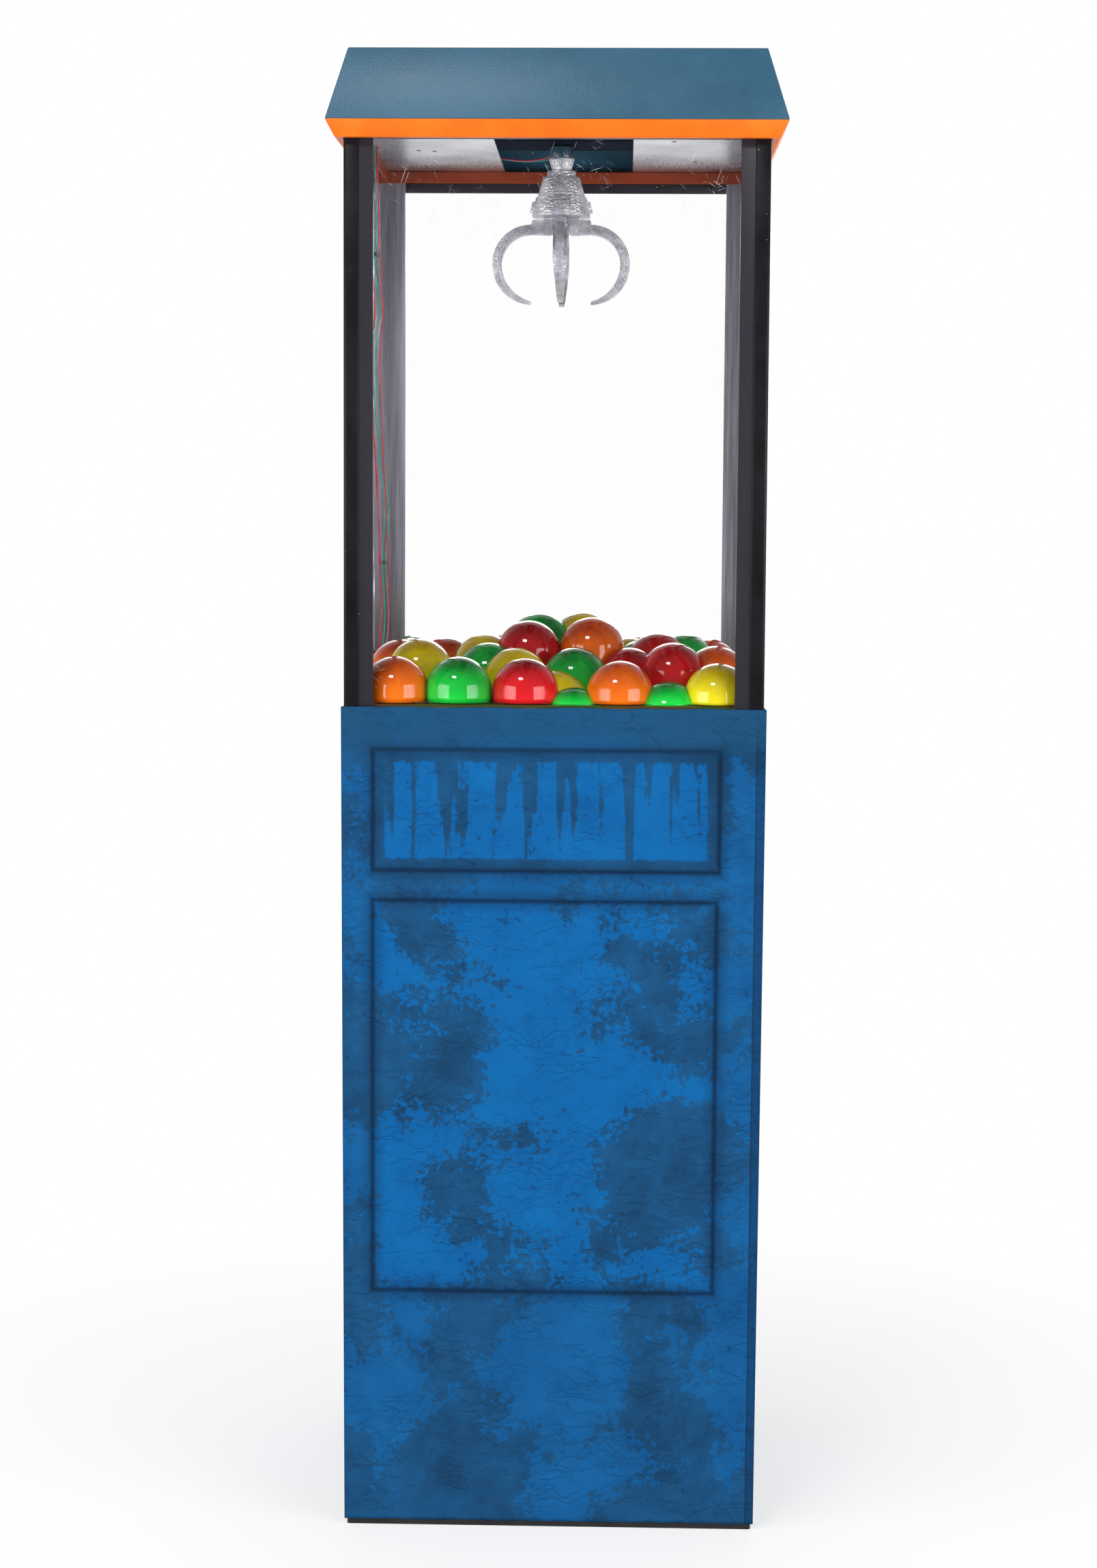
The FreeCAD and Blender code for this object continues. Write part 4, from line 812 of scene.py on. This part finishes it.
# %% Printed panels
UPPER_PANEL = (-185, 171, 694, 819)
LOWER_PANEL = (-185, 169, 253, 663)
FRAME_LINE = 4 * MM
FRAME_SHADOW = 14 * MM
SIDE_FOLD = 208.5 * MM
SIDE_FOLD_LEAN = 2 * MM
FOLD_LINE = 1.4 * MM
CLOTH_TOP = 860 * MM


def edge_distance(tree, across, up, panel):
    """Signed distance, in metres, to the edge of a panel (left, right, bottom, top) in millimetres."""
    left, right, bottom, top = (value * MM for value in panel)
    beyond = []
    for value, low, high in ((across, left, right), (up, bottom, top)):
        from_middle = add_node(tree, MATH, MINUS, [value, (low + high) / 2])
        size = add_node(tree, MATH, UNSIGNED, [from_middle])
        beyond.append(add_node(tree, MATH, MINUS, [size, (high - low) / 2]))
    return add_node(tree, MATH, LARGER, beyond)


def print_drips(tree, place, up, upper, lower, fresh):
    """Thin the bright paint outside the panels, and put drips in the upper one."""
    streaked = add_node(tree, STRETCH, {}, {"Vector": place, "Scale": (1, 1, 0.07)})
    runs = add_node(tree, CLOUDS, {}, [streaked, per_size(17), 2, 0.5])
    torn = add_node(tree, CLOUDS, {}, [place, per_size(12), 6, 0.75])
    ragged = add_node(tree, MATH, TIMES, [torn, 0.22])
    drained = add_node(tree, RANGE, {}, [up, UPPER_PANEL[2] * MM, UPPER_PANEL[3] * MM, 0.12, -0.02])
    sharp = add_node(tree, MATH, PLUS, [add_node(tree, MATH, PLUS, [runs, ragged]), drained])
    dripped = add_node(tree, RANGE, {}, [sharp, 0.575, 0.60])
    uneven = add_node(tree, MATH, PLUS, [upper, add_node(tree, MATH, TIMES, [ragged, 0.05])])
    inside = add_node(tree, RANGE, {}, [uneven, -6 * MM, -8 * MM])
    drips = add_node(tree, MATH, TIMES, [dripped, inside])
    nearest = add_node(tree, MATH, SMALLER, [upper, lower])
    margin = add_node(tree, RANGE, {}, [nearest, -2 * MM, 4 * MM, 1, 0.6])
    thinned = add_node(tree, MATH, TIMES, [fresh, margin])
    outside = add_node(tree, RANGE, {}, [upper, 0, 2 * MM])
    kept = add_node(tree, MATH, TIMES, [thinned, outside])
    return add_node(tree, MATH, LARGER, [kept, drips])


def draw_lines(tree, across, up, panels, base):
    """Paint shade beyond the side fold, and darken the fold's line and the panels' frames."""
    lean = add_node(tree, RANGE, {}, [up, 0, CLOTH_TOP, SIDE_FOLD_LEAN, 0])
    folded = add_node(tree, MATH, PLUS, [across, lean])
    # Painted shade: the strip beyond the fold, turned away from the light, goes darker.
    behind = add_node(tree, RANGE, {}, [folded, SIDE_FOLD, SIDE_FOLD + FOLD_LINE, 0, 0.6])
    base = add_node(tree, BLEND, COLOURS, [behind, base, "#0F2F52"])
    lines = [(add_node(tree, MATH, MINUS, [folded, SIDE_FOLD]), FOLD_LINE, 0.8, "#07172B")]
    for distance in panels:
        lines.append((distance, FRAME_SHADOW, 0.55, "#0F2B4A"))
        lines.append((distance, FRAME_LINE, 0.75, "#081A30"))
    for distance, width, strength, colour in lines:
        size = add_node(tree, MATH, UNSIGNED, [distance])
        amount = add_node(tree, RANGE, {}, [size, width, 0, 0, strength])
        base = add_node(tree, BLEND, COLOURS, [amount, base, colour])
    return base


print("panel heights", [panel[3] - panel[2] for panel in (UPPER_PANEL, LOWER_PANEL)], "mm")

# %% [markdown]
# The felt itself is matt: it scatters light in its fibres and hardly mirrors. Two tones of worn blue lie
# under the brighter paint, dark flecks over both, and a faded band along the top. Fibres, creases and
# soft dents share one bump; real fibres are finer than the render can show, so they are drawn coarser.
# The creases are also painted darker, as painted shade.

# %% Cloth finish
TOP_BAND = (815 * MM, 835 * MM)


def make_cloth(name, across_axis, printed):
    """Worn blue felt; the printed one carries the two framed panels."""
    material, tree, shader, place = start_material(name, {"Roughness": 0.7, "Specular IOR Level": 0.06})
    split = add_node(tree, SPLIT, {}, [place]).outputs
    across, up = split[across_axis], split["Z"]
    clouds = add_node(tree, CLOUDS, {}, [place, per_size(70), 6, 0.65])
    worn = add_node(tree, RANGE, {}, [clouds, 0.35, 0.62])
    base = add_node(tree, BLEND, COLOURS, [worn, "#153F62", "#1A517F"])
    fresh = paint_film(tree, place, across, up)
    if printed:
        panels = [edge_distance(tree, across, up, panel) for panel in (UPPER_PANEL, LOWER_PANEL)]
        fresh = print_drips(tree, place, up, *panels, fresh)
    patchy = add_node(tree, RANGE, {}, [clouds, 0.3, 0.7])
    bright = add_node(tree, BLEND, COLOURS, [patchy, "#0B5695", "#0F64A3"])
    base = add_node(tree, BLEND, COLOURS, [fresh, base, bright])
    spots = add_node(tree, CLOUDS, {}, [place, per_size(9), 5, 0.7])
    crisp = add_node(tree, RANGE, {}, [spots, 0.60, 0.64])
    areas = add_node(tree, RANGE, {}, [clouds, 0.56, 0.46])
    flecks = add_node(tree, MATH, TIMES, [add_node(tree, MATH, TIMES, [crisp, areas]), 0.7])
    base = add_node(tree, BLEND, COLOURS, [flecks, base, "#14365A"])
    if printed:
        base = draw_lines(tree, across, up, panels, base)
    faded = add_node(tree, RANGE, {}, [up, *TOP_BAND, 0, 0.85])
    base = add_node(tree, BLEND, COLOURS, [faded, base, "#1B4A6E"])
    creases = crease_pattern(tree, place)
    # Painted shade: the colour darkens inside the creases.
    crease_painted_shade = add_node(tree, RANGE, {}, [creases, 0.5, 0, 0, 0.2])
    height = 0.0
    for pattern, share in (
        (add_node(tree, CLOUDS, {}, [place, per_size(1.1), 2, 0.7]), 0.18),
        (creases, 0.65),
        (add_node(tree, CLOUDS, {}, [place, per_size(11), 3, 0.6]), 1.2),
    ):
        height = add_node(tree, MATH, PLUS, [height, add_node(tree, MATH, TIMES, [pattern, share])])
    fill_sockets(tree, shader, {
        "Base Color": add_node(tree, BLEND, COLOURS, [crease_painted_shade, base, "#0E2846"]),
        "Normal": add_node(tree, BUMP, {}, {"Height": height, "Distance": 0.8 * MM}),
    })
    return material


finish["printed_cloth"] = make_cloth("printed_blue_felt", "X", True)
finish["rear_cloth"] = make_cloth("blue_felt", "X", False)
finish["side_cloth"] = make_cloth("blue_felt_side", "Y", False)
print("cloth finishes made")

# %% [markdown]
# Each side of the sleeve is one hung panel. Simulating it would move its hems off the deck's edge, so the
# panel is a fine grid that follows the solid's lean and belly, and creases are pressed into it from layered
# noise with a fixed place. The top edge waves a little, as cut felt does.

# %% Cloth panels
CLOTH_STEP = 4 * MM
CLOTH_THICKNESS = 2 * MM
CLOTH_BELLY = 2.5 * MM
LEAN_IN = 3 * MM
CREASE = 0.55 * MM
DEEPEST_CREASE = 0.35 * MM
BROAD_SIZE = 70 * MM
RIDGE_SIZE = 26 * MM
FOLD_SIZE = 120 * MM
RIDGE_SHIFT = Vector((7.3, 1.9, 4.1))
FOLD_SHIFT = Vector((2.7, 8.2, 0.6))
EDGE_WAVE = 0.9 * MM
TOP_WAVE_SIZE = 45 * MM
HEM_WAVE_SIZE = 30 * MM
CORNER_LAP = 0.4 * MM
SIDE_FADE = 14
HEM_FADE = 40
HEM_LEAST = 0.25
CLOTH_FINISH = {"front": "printed_cloth", "right": "side_cloth", "rear": "rear_cloth", "left": "side_cloth"}
front_low, front_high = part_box("sleeve_front")


def crease_height(point):
    """Height of the creases at a point of the cloth."""
    stretched = Vector((point.x * 0.5, point.y * 0.5, point.z))
    broad = noise.noise(stretched / BROAD_SIZE)
    ridge = 1 - 2 * abs(noise.noise(stretched / RIDGE_SIZE + RIDGE_SHIFT))
    fold = 1 - 2 * abs(noise.noise(stretched / FOLD_SIZE + FOLD_SHIFT))
    return CREASE * (0.9 * broad + 0.35 * ridge + 0.5 * fold)


def belly(across, up):
    """How far the cloth swells out at a share of its width and height."""
    return CLOTH_BELLY * math.sin(math.pi * up) * math.sin(math.pi * across)


def make_panel(side, turn):
    """One panel, made as a front one and turned by an angle in degrees to its side."""
    low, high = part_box(f"sleeve_{side}")
    half_top = (high.x - low.x) / 2 if turn % 180 == 0 else (high.y - low.y) / 2
    face = -front_low.y - CLOTH_BELLY - CLOTH_THICKNESS / 2
    bottom, top = low.z, high.z
    columns = round(2 * half_top / CLOTH_STEP)
    rows = round((top - bottom) / CLOTH_STEP)
    spin = Matrix.Rotation(math.radians(turn), 3, "Z")
    shape = bmesh.new()
    grid = []
    for row in range(rows + 1):
        up = row / rows
        half = half_top - LEAN_IN * (1 - up) - CORNER_LAP
        line = []
        for column in range(columns + 1):
            across = column / columns
            point = Vector((half * (2 * across - 1), 0, bottom + (top - bottom) * up))
            side_fade = min(1, min(across, 1 - across) * SIDE_FADE)
            hem_fade = min(1, min(up, 1 - up) * HEM_FADE + HEM_LEAST)
            crease = crease_height(spin @ point + Vector((turn, 0, 0))) * (side_fade * hem_fade)
            point.y = -(face - LEAN_IN * (1 - up) + belly(across, up) + max(crease, -DEEPEST_CREASE))
            if row == rows:
                point.z += EDGE_WAVE * noise.noise(Vector((point.x / TOP_WAVE_SIZE, turn, 0)))
            if row == 0:
                point.z += EDGE_WAVE * abs(noise.noise(Vector((point.x / HEM_WAVE_SIZE, turn, 3))))
            line.append(shape.verts.new(spin @ point))
        grid.append(line)
    for lower, upper in zip(grid, grid[1:]):
        for column in range(columns):
            shape.faces.new((lower[column], lower[column + 1], upper[column + 1], upper[column]))
    name = f"{side}_cloth"
    piece = new_piece(name, mesh_from(shape, name), finish[CLOTH_FINISH[side]])
    solid = piece.modifiers.new("felt_thickness", "SOLIDIFY")
    solid.thickness = CLOTH_THICKNESS
    solid.offset = 0
    settle(piece, "case", "felt_cloth", f"sleeve_{side}")
    return piece


panels = {side: make_panel(side, turn) for side, turn in zip(SIDES, (0, 90, 180, 270))}
print("cloth faces", {side: len(panel.data.polygons) for side, panel in panels.items()})

# %% [markdown]
# Stitches and screw heads repeat, so Geometry Nodes place them. Both trees begin with the same kind of
# inputs and end by making the instances real and giving them a finish, so three functions serve both: one
# starts a tree, one ends it, and one runs it on an object and keeps the result as a plain mesh.

# %% Tree helpers


def start_tree(name, sizes):
    """A tree with geometry, named sizes and a material as its inputs: gives the tree and those sockets."""
    tree = bpy.data.node_groups.new(name, "GeometryNodeTree")
    tree.interface.new_socket("Geometry", in_out="INPUT", socket_type="NodeSocketGeometry")
    for size in sizes:
        tree.interface.new_socket(size, in_out="INPUT", socket_type="NodeSocketFloat")
    tree.interface.new_socket("Material", in_out="INPUT", socket_type="NodeSocketMaterial")
    tree.interface.new_socket("Geometry", in_out="OUTPUT", socket_type="NodeSocketGeometry")
    return tree, add_node(tree, "NodeGroupInput").outputs


def end_tree(tree, given, placed):
    """Make the placed instances real and give them their material."""
    real = add_node(tree, "GeometryNodeRealizeInstances", {}, [placed])
    dressed = add_node(tree, "GeometryNodeSetMaterial", {}, {
        "Geometry": real, "Material": given["Material"],
    })
    add_node(tree, "NodeGroupOutput", {}, {"Geometry": dressed})


def run_tree(name, data, tree, values):
    """A plain mesh object from what a tree makes of a curve or a point mesh."""
    source = bpy.data.objects.new(f"{name}_source", data)
    scene.collection.objects.link(source)
    inputs = {item.name: item.identifier for item in tree.interface.items_tree if item.in_out == "INPUT"}
    modifier = source.modifiers.new(tree.name, "NODES")
    modifier.node_group = tree
    for socket, value in values.items():
        modifier[inputs[socket]] = value
    mesh = evaluated_mesh(source)
    bpy.data.objects.remove(source)
    piece = bpy.data.objects.new(name, mesh)
    scene.collection.objects.link(piece)
    return piece


print("trees so far", len(bpy.data.node_groups))

# %% [markdown]
# Sewn lines hold the cloth: a long seam down the right of the front, and two small stitched boxes at the
# top where the hook strips sit behind. The tree resamples a curve at the stitch spacing and turns a small
# bar along it at every point.

# %% Stitches
STITCH_SIZES = {"Spacing": 3.6 * MM, "Stitch Length": 2.6 * MM, "Stitch Radius": 0.35 * MM}
STITCH_PROUD = 0.1 * MM
SEAM_STEPS = 40
SEAM_INSET_TOP = 9 * MM
SEAM_INSET_HEM = 8 * MM
SEAM_END = 0.004
HOOK_BOXES = [(-87, -57.5), (52.5, 80.5)]
HOOK_BOX_TOP = 861
HOOK_BOX_FOOT = 848


def stitch_tree():
    tree, given = start_tree("sewn_line", STITCH_SIZES)
    points = add_node(tree, "GeometryNodeCurveToPoints", {"mode": "LENGTH"}, {
        "Curve": given["Geometry"], "Length": given["Spacing"],
    })
    bar = add_node(tree, "GeometryNodeMeshCylinder", {}, {
        "Vertices": 6, "Radius": given["Stitch Radius"], "Depth": given["Stitch Length"],
    })
    placed = add_node(tree, "GeometryNodeInstanceOnPoints", {}, {
        "Points": points, "Instance": bar, "Rotation": points.outputs["Rotation"],
    })
    end_tree(tree, given, placed)
    return tree


def on_front(x, z):
    """A point just proud of the front panel."""
    up = (z - front_low.z) / (front_high.z - front_low.z)
    across = (x - front_low.x) / (front_high.x - front_low.x)
    face = -front_low.y - CLOTH_BELLY - LEAN_IN * (1 - up) + belly(across, up)
    return Vector((x, -face - STITCH_PROUD, z))


def seam_points():
    """Points down the right of the front, following the lean of its edge."""
    points = []
    for step in range(SEAM_STEPS + 1):
        up = step / SEAM_STEPS
        edge = front_high.x - LEAN_IN * (1 - up)
        inset = SEAM_INSET_HEM + (SEAM_INSET_TOP - SEAM_INSET_HEM) * up
        share = SEAM_END + (1 - 2 * SEAM_END) * up
        points.append(on_front(edge - inset, front_low.z + (front_high.z - front_low.z) * share))
    return points


def new_curve(name, kind, lines):
    """A curve with one spline for each list of points."""
    curve = bpy.data.curves.new(name, "CURVE")
    curve.dimensions = "3D"
    for line in lines:
        spline = curve.splines.new(kind)
        spline.points.add(len(line) - 1)
        for point, place in zip(spline.points, line):
            point.co = (*place, 1)
    return curve


lines = [seam_points()]
for left, right in HOOK_BOXES:
    corners = [(left, HOOK_BOX_TOP), (left, HOOK_BOX_FOOT), (right, HOOK_BOX_FOOT), (right, HOOK_BOX_TOP)]
    lines.append([on_front(x * MM, z * MM) for x, z in corners])
sewn = new_curve("front_stitches", "POLY", lines)
stitches = run_tree("front_stitches", sewn, stitch_tree(), {**STITCH_SIZES, "Material": finish["thread"]})
settle(stitches, "case", "felt_cloth")
print("stitch faces", len(stitches.data.polygons))

# %% [markdown]
# Two insulated wires run from the battery box up the left window and over the ceiling board to the motor.
# They are held all the way, so their line is one NURBS curve through the same route as the solid, and a
# round bevel gives the insulation. The clips on the window are small moulded bridges.

# %% Wires
WIRE_RADIUS = 0.8 * MM
TEAL_ROUTE = [
    (-152.75, 126, 835), (-174, 126.6, 834.8), (-197, 126, 835), (-197.4, 126.2, 868),
    (-201, 134, 890), (-201.8, 152, 908), (-201.8, 186, 932), (-201.8, 178, 962),
    (-201.8, 148, 985), (-201.8, 142, 1012), (-201.8, 172, 1034), (-201.8, 184, 1062),
    (-201.8, 152, 1090), (-201.8, 112, 1118), (-201.8, 74, 1150), (-201.8, 40, 1186),
    (-201.8, 8, 1216), (-201.8, 20, 1248), (-201.8, 66, 1268), (-201.8, 90, 1284),
    (-201.8, 88, 1306), (-201.8, 58, 1320), (-201.8, 34, 1340), (-201.8, 28, 1372),
    (-201.8, 24, 1404), (-201.8, -2, 1430), (-201, -12, 1463), (-180, 12, 1459),
    (-137, 58, 1455.4), (-94, 110, 1455.4), (-64, 126, 1454.6),
    (-44, 106, 1450), (-20, 86, 1449), (-2, 64, 1451), (4, 44, 1460),
    (4, 25, 1464), (4, 20.6, 1480), (4, 20.4, 1496),
]
RED_ROUTE = [
    (-152.75, 122, 835), (-174, 121.4, 835.2), (-196.6, 122, 835), (-197, 122.2, 868),
    (-199, 128, 890), (-199.6, 142, 908), (-199.6, 162, 938), (-199.6, 150, 984),
    (-199.6, 134, 1030), (-199.6, 112, 1082), (-199.6, 74, 1132), (-199.6, 44, 1178),
    (-199.6, 34, 1226), (-199.6, 58, 1262), (-199.6, 76, 1284), (-199.6, 60, 1306),
    (-199.6, 34, 1332), (-199.6, 28, 1378), (-199.6, 2, 1426), (-198.6, -12, 1463),
    (-177, 8, 1459), (-134, 54, 1455.4), (-91, 106, 1455.4), (-64, 119, 1454.6),
    (-48, 100, 1450), (-26, 80, 1449), (-10, 60, 1451), (-4, 43, 1460),
    (-4, 25, 1464), (-4, 20.6, 1480), (-4, 20.4, 1496),
]


def run_wire(name, route, node):
    curve = new_curve(name, "NURBS", [[Vector(place) * MM for place in route]])
    curve.bevel_depth = WIRE_RADIUS
    curve.bevel_resolution = 3
    curve.resolution_u = 8
    curve.use_fill_caps = True
    curve.splines[0].order_u = 3
    curve.splines[0].use_endpoint_u = True
    return settle(new_piece(name, curve, finish[node]), "case", node, node)


run_wire("insulated_red_wire", RED_ROUTE, "red_wire")
run_wire("insulated_teal_wire", TEAL_ROUTE, "teal_wire")
rounded_copy("moulded_clips", "wire_clips", finish["black"], "case", "black_plastic", 0.4)
print("wires", len(RED_ROUTE), len(TEAL_ROUTE), "points")

# %% [markdown]
# Small screws hold the ceiling boards and the front of the ball tray. The tree places one screw head, a
# low cone with a cut top, on each point of a bare point mesh.

# %% Screws
SCREW_RADIUS = 2.6 * MM
SCREW_HEIGHT = 1.1 * MM
SCREW_TIP = 0.7
CEILING_SCREWS = [(-156, 19), (-139, 24), (-120, -150), (-150, -120), (146, 109), (150, -110), (120, -60)]
TRAY_SCREWS = [(-139.5, -199), (139.5, -199)]
ceiling_low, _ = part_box("left_ceiling_board")


def screw_tree():
    tree, given = start_tree("screw_heads", ("Head Radius", "Head Height"))
    head = add_node(tree, "GeometryNodeMeshCone", {}, {
        "Vertices": 20, "Side Segments": 2, "Depth": given["Head Height"],
        "Radius Top": add_node(tree, MATH, TIMES, [given["Head Radius"], SCREW_TIP]),
        "Radius Bottom": given["Head Radius"],
    })
    placed = add_node(tree, "GeometryNodeInstanceOnPoints", {}, {
        "Points": given["Geometry"], "Instance": head,
    })
    end_tree(tree, given, placed)
    return tree


def set_screws(name, places, level, material, slot):
    points = bpy.data.meshes.new(f"{name}_points")
    points.from_pydata([(x * MM, y * MM, level) for x, y in places], [], [])
    piece = run_tree(name, points, screw_tree(), {
        "Head Radius": SCREW_RADIUS, "Head Height": SCREW_HEIGHT, "Material": material,
    })
    return settle(piece, "case", slot)


under_boards = ceiling_low.z - SCREW_HEIGHT / 2
on_tray = tray_high.z + SCREW_HEIGHT / 2
set_screws("ceiling_screws", CEILING_SCREWS, under_boards, finish["brass"], "silver_sheet")
set_screws("tray_screws", TRAY_SCREWS, on_tray, finish["black"], "black_plastic")
print("screws", len(CEILING_SCREWS) + len(TRAY_SCREWS))

# %% [markdown]
# The studio is plain: a pale floor, a white world and soft lamps. The camera sees white, and so it does
# through clear sheets. Mirrors see a white backdrop behind the object and a dim room in front of it, so
# glossy pieces keep their colour, and everything else gets a dimmer light that doesn't flood the object.

# %% World
ROOM_LIGHT = 0.45
DIM_ROOM = 0.25
ROOM_AHEAD = (0.25, 0.75)


def white_for_camera(tree, depth, front, behind):
    """Strength of the white, by the kind of ray and by how far back it ends."""
    path = add_node(tree, "ShaderNodeLightPath").outputs
    seen = add_node(tree, MATH, LARGER, [path["Is Camera Ray"], path["Is Transmission Ray"]])
    room = add_node(tree, RANGE, {}, [depth, front, behind, DIM_ROOM, 1])
    mirrored = add_node(tree, MATH, TIMES, [path["Is Glossy Ray"], room])
    rest = add_node(tree, RANGE, {}, [path["Is Glossy Ray"], 0, 1, ROOM_LIGHT, 0])
    return add_node(tree, MATH, LARGER, [seen, add_node(tree, MATH, LARGER, [mirrored, rest])])


world = bpy.data.worlds.new("white_studio")
world.use_nodes = True
scene.world = world
looking = add_node(world.node_tree, "ShaderNodeTexCoord").outputs["Generated"]
ahead = add_node(world.node_tree, SPLIT, {}, [looking]).outputs["Y"]
fill_sockets(world.node_tree, world.node_tree.nodes["Background"], {
    "Color": "#FFFFFF", "Strength": white_for_camera(world.node_tree, ahead, *ROOM_AHEAD),
})
print("world", world.name)

# %% [markdown]
# The floor takes the shadow near the object and turns into the same white further out, so no horizon
# shows. It lies a hair below the base, because two faces in one plane would flicker.

# %% Floor
FLOOR_HALF = 14.0
FLOOR_GAP = 0.3 * MM
NEAR_FLOOR = 0.3
FAR_FLOOR = 1.1
NEAR_GLOW = 0.6
FLOOR_AHEAD = (-0.6, 0.6)
FLOOR_CORNERS = ((-1, -1), (1, -1), (1, 1), (-1, 1))


def make_floor_paint():
    material, tree, shader, place = start_material("pale_floor", {
        "Roughness": 0.9, "Specular IOR Level": 0.0, "Emission Color": "#FFFFFF",
    })
    distance = add_node(tree, "ShaderNodeVectorMath", {"operation": "LENGTH"}, [place])
    far = add_node(tree, RANGE, {}, [distance, NEAR_FLOOR, FAR_FLOOR, NEAR_GLOW, 1])
    depth = add_node(tree, SPLIT, {}, [place]).outputs["Y"]
    white = white_for_camera(tree, depth, *FLOOR_AHEAD)
    fill_sockets(tree, shader, {
        "Base Color": add_node(tree, BLEND, COLOURS, [far, "#F4F4F4", "#000000"]),
        "Emission Strength": add_node(tree, MATH, TIMES, [far, white]),
    })
    return material


floor_mesh = bpy.data.meshes.new("floor")
floor_points = [(x * FLOOR_HALF, y * FLOOR_HALF, -FLOOR_GAP) for x, y in FLOOR_CORNERS]
floor_mesh.from_pydata(floor_points, [], [(0, 1, 2, 3)])
floor = new_piece("floor", floor_mesh, make_floor_paint())
print("floor", 2 * FLOOR_HALF, "m wide")

# %% [markdown]
# Two wide softboxes stand at the sides, as the long reflections on the balls and the posts show. A small
# one hangs high in front, and one behind lights the edges of the roof. A row holds a lamp's place, the
# point that it faces, its width and height in metres, and its power in watts.

# %% Lamps
LAMPS = {
    "left_softbox": ((-2.0, -1.6, 1.0), (0, 0, 0.85), (2.0, 1.3), 42),
    "right_softbox": ((1.95, -1.65, 1.0), (0, 0, 0.85), (2.0, 1.3), 42),
    "rear_softbox": ((0.2, 2.4, 2.0), (0, 0, 1.0), (1.6, 1.0), 22),
    "high_softbox": ((-0.8, -2.3, 3.3), (0, 0, 1.2), (0.8, 0.5), 30),
}

for name, (place, target, (width, height), power) in LAMPS.items():
    lamp = bpy.data.lights.new(name, "AREA")
    lamp.shape = "RECTANGLE"
    lamp.size = width
    lamp.size_y = height
    lamp.energy = power
    holder = bpy.data.objects.new(name, lamp)
    holder.location = place
    holder.rotation_euler = (Vector(target) - Vector(place)).to_track_quat("-Z", "Y").to_euler()
    scene.collection.objects.link(holder)
scene.view_settings.view_transform = "Standard"
print("lamps", list(LAMPS))
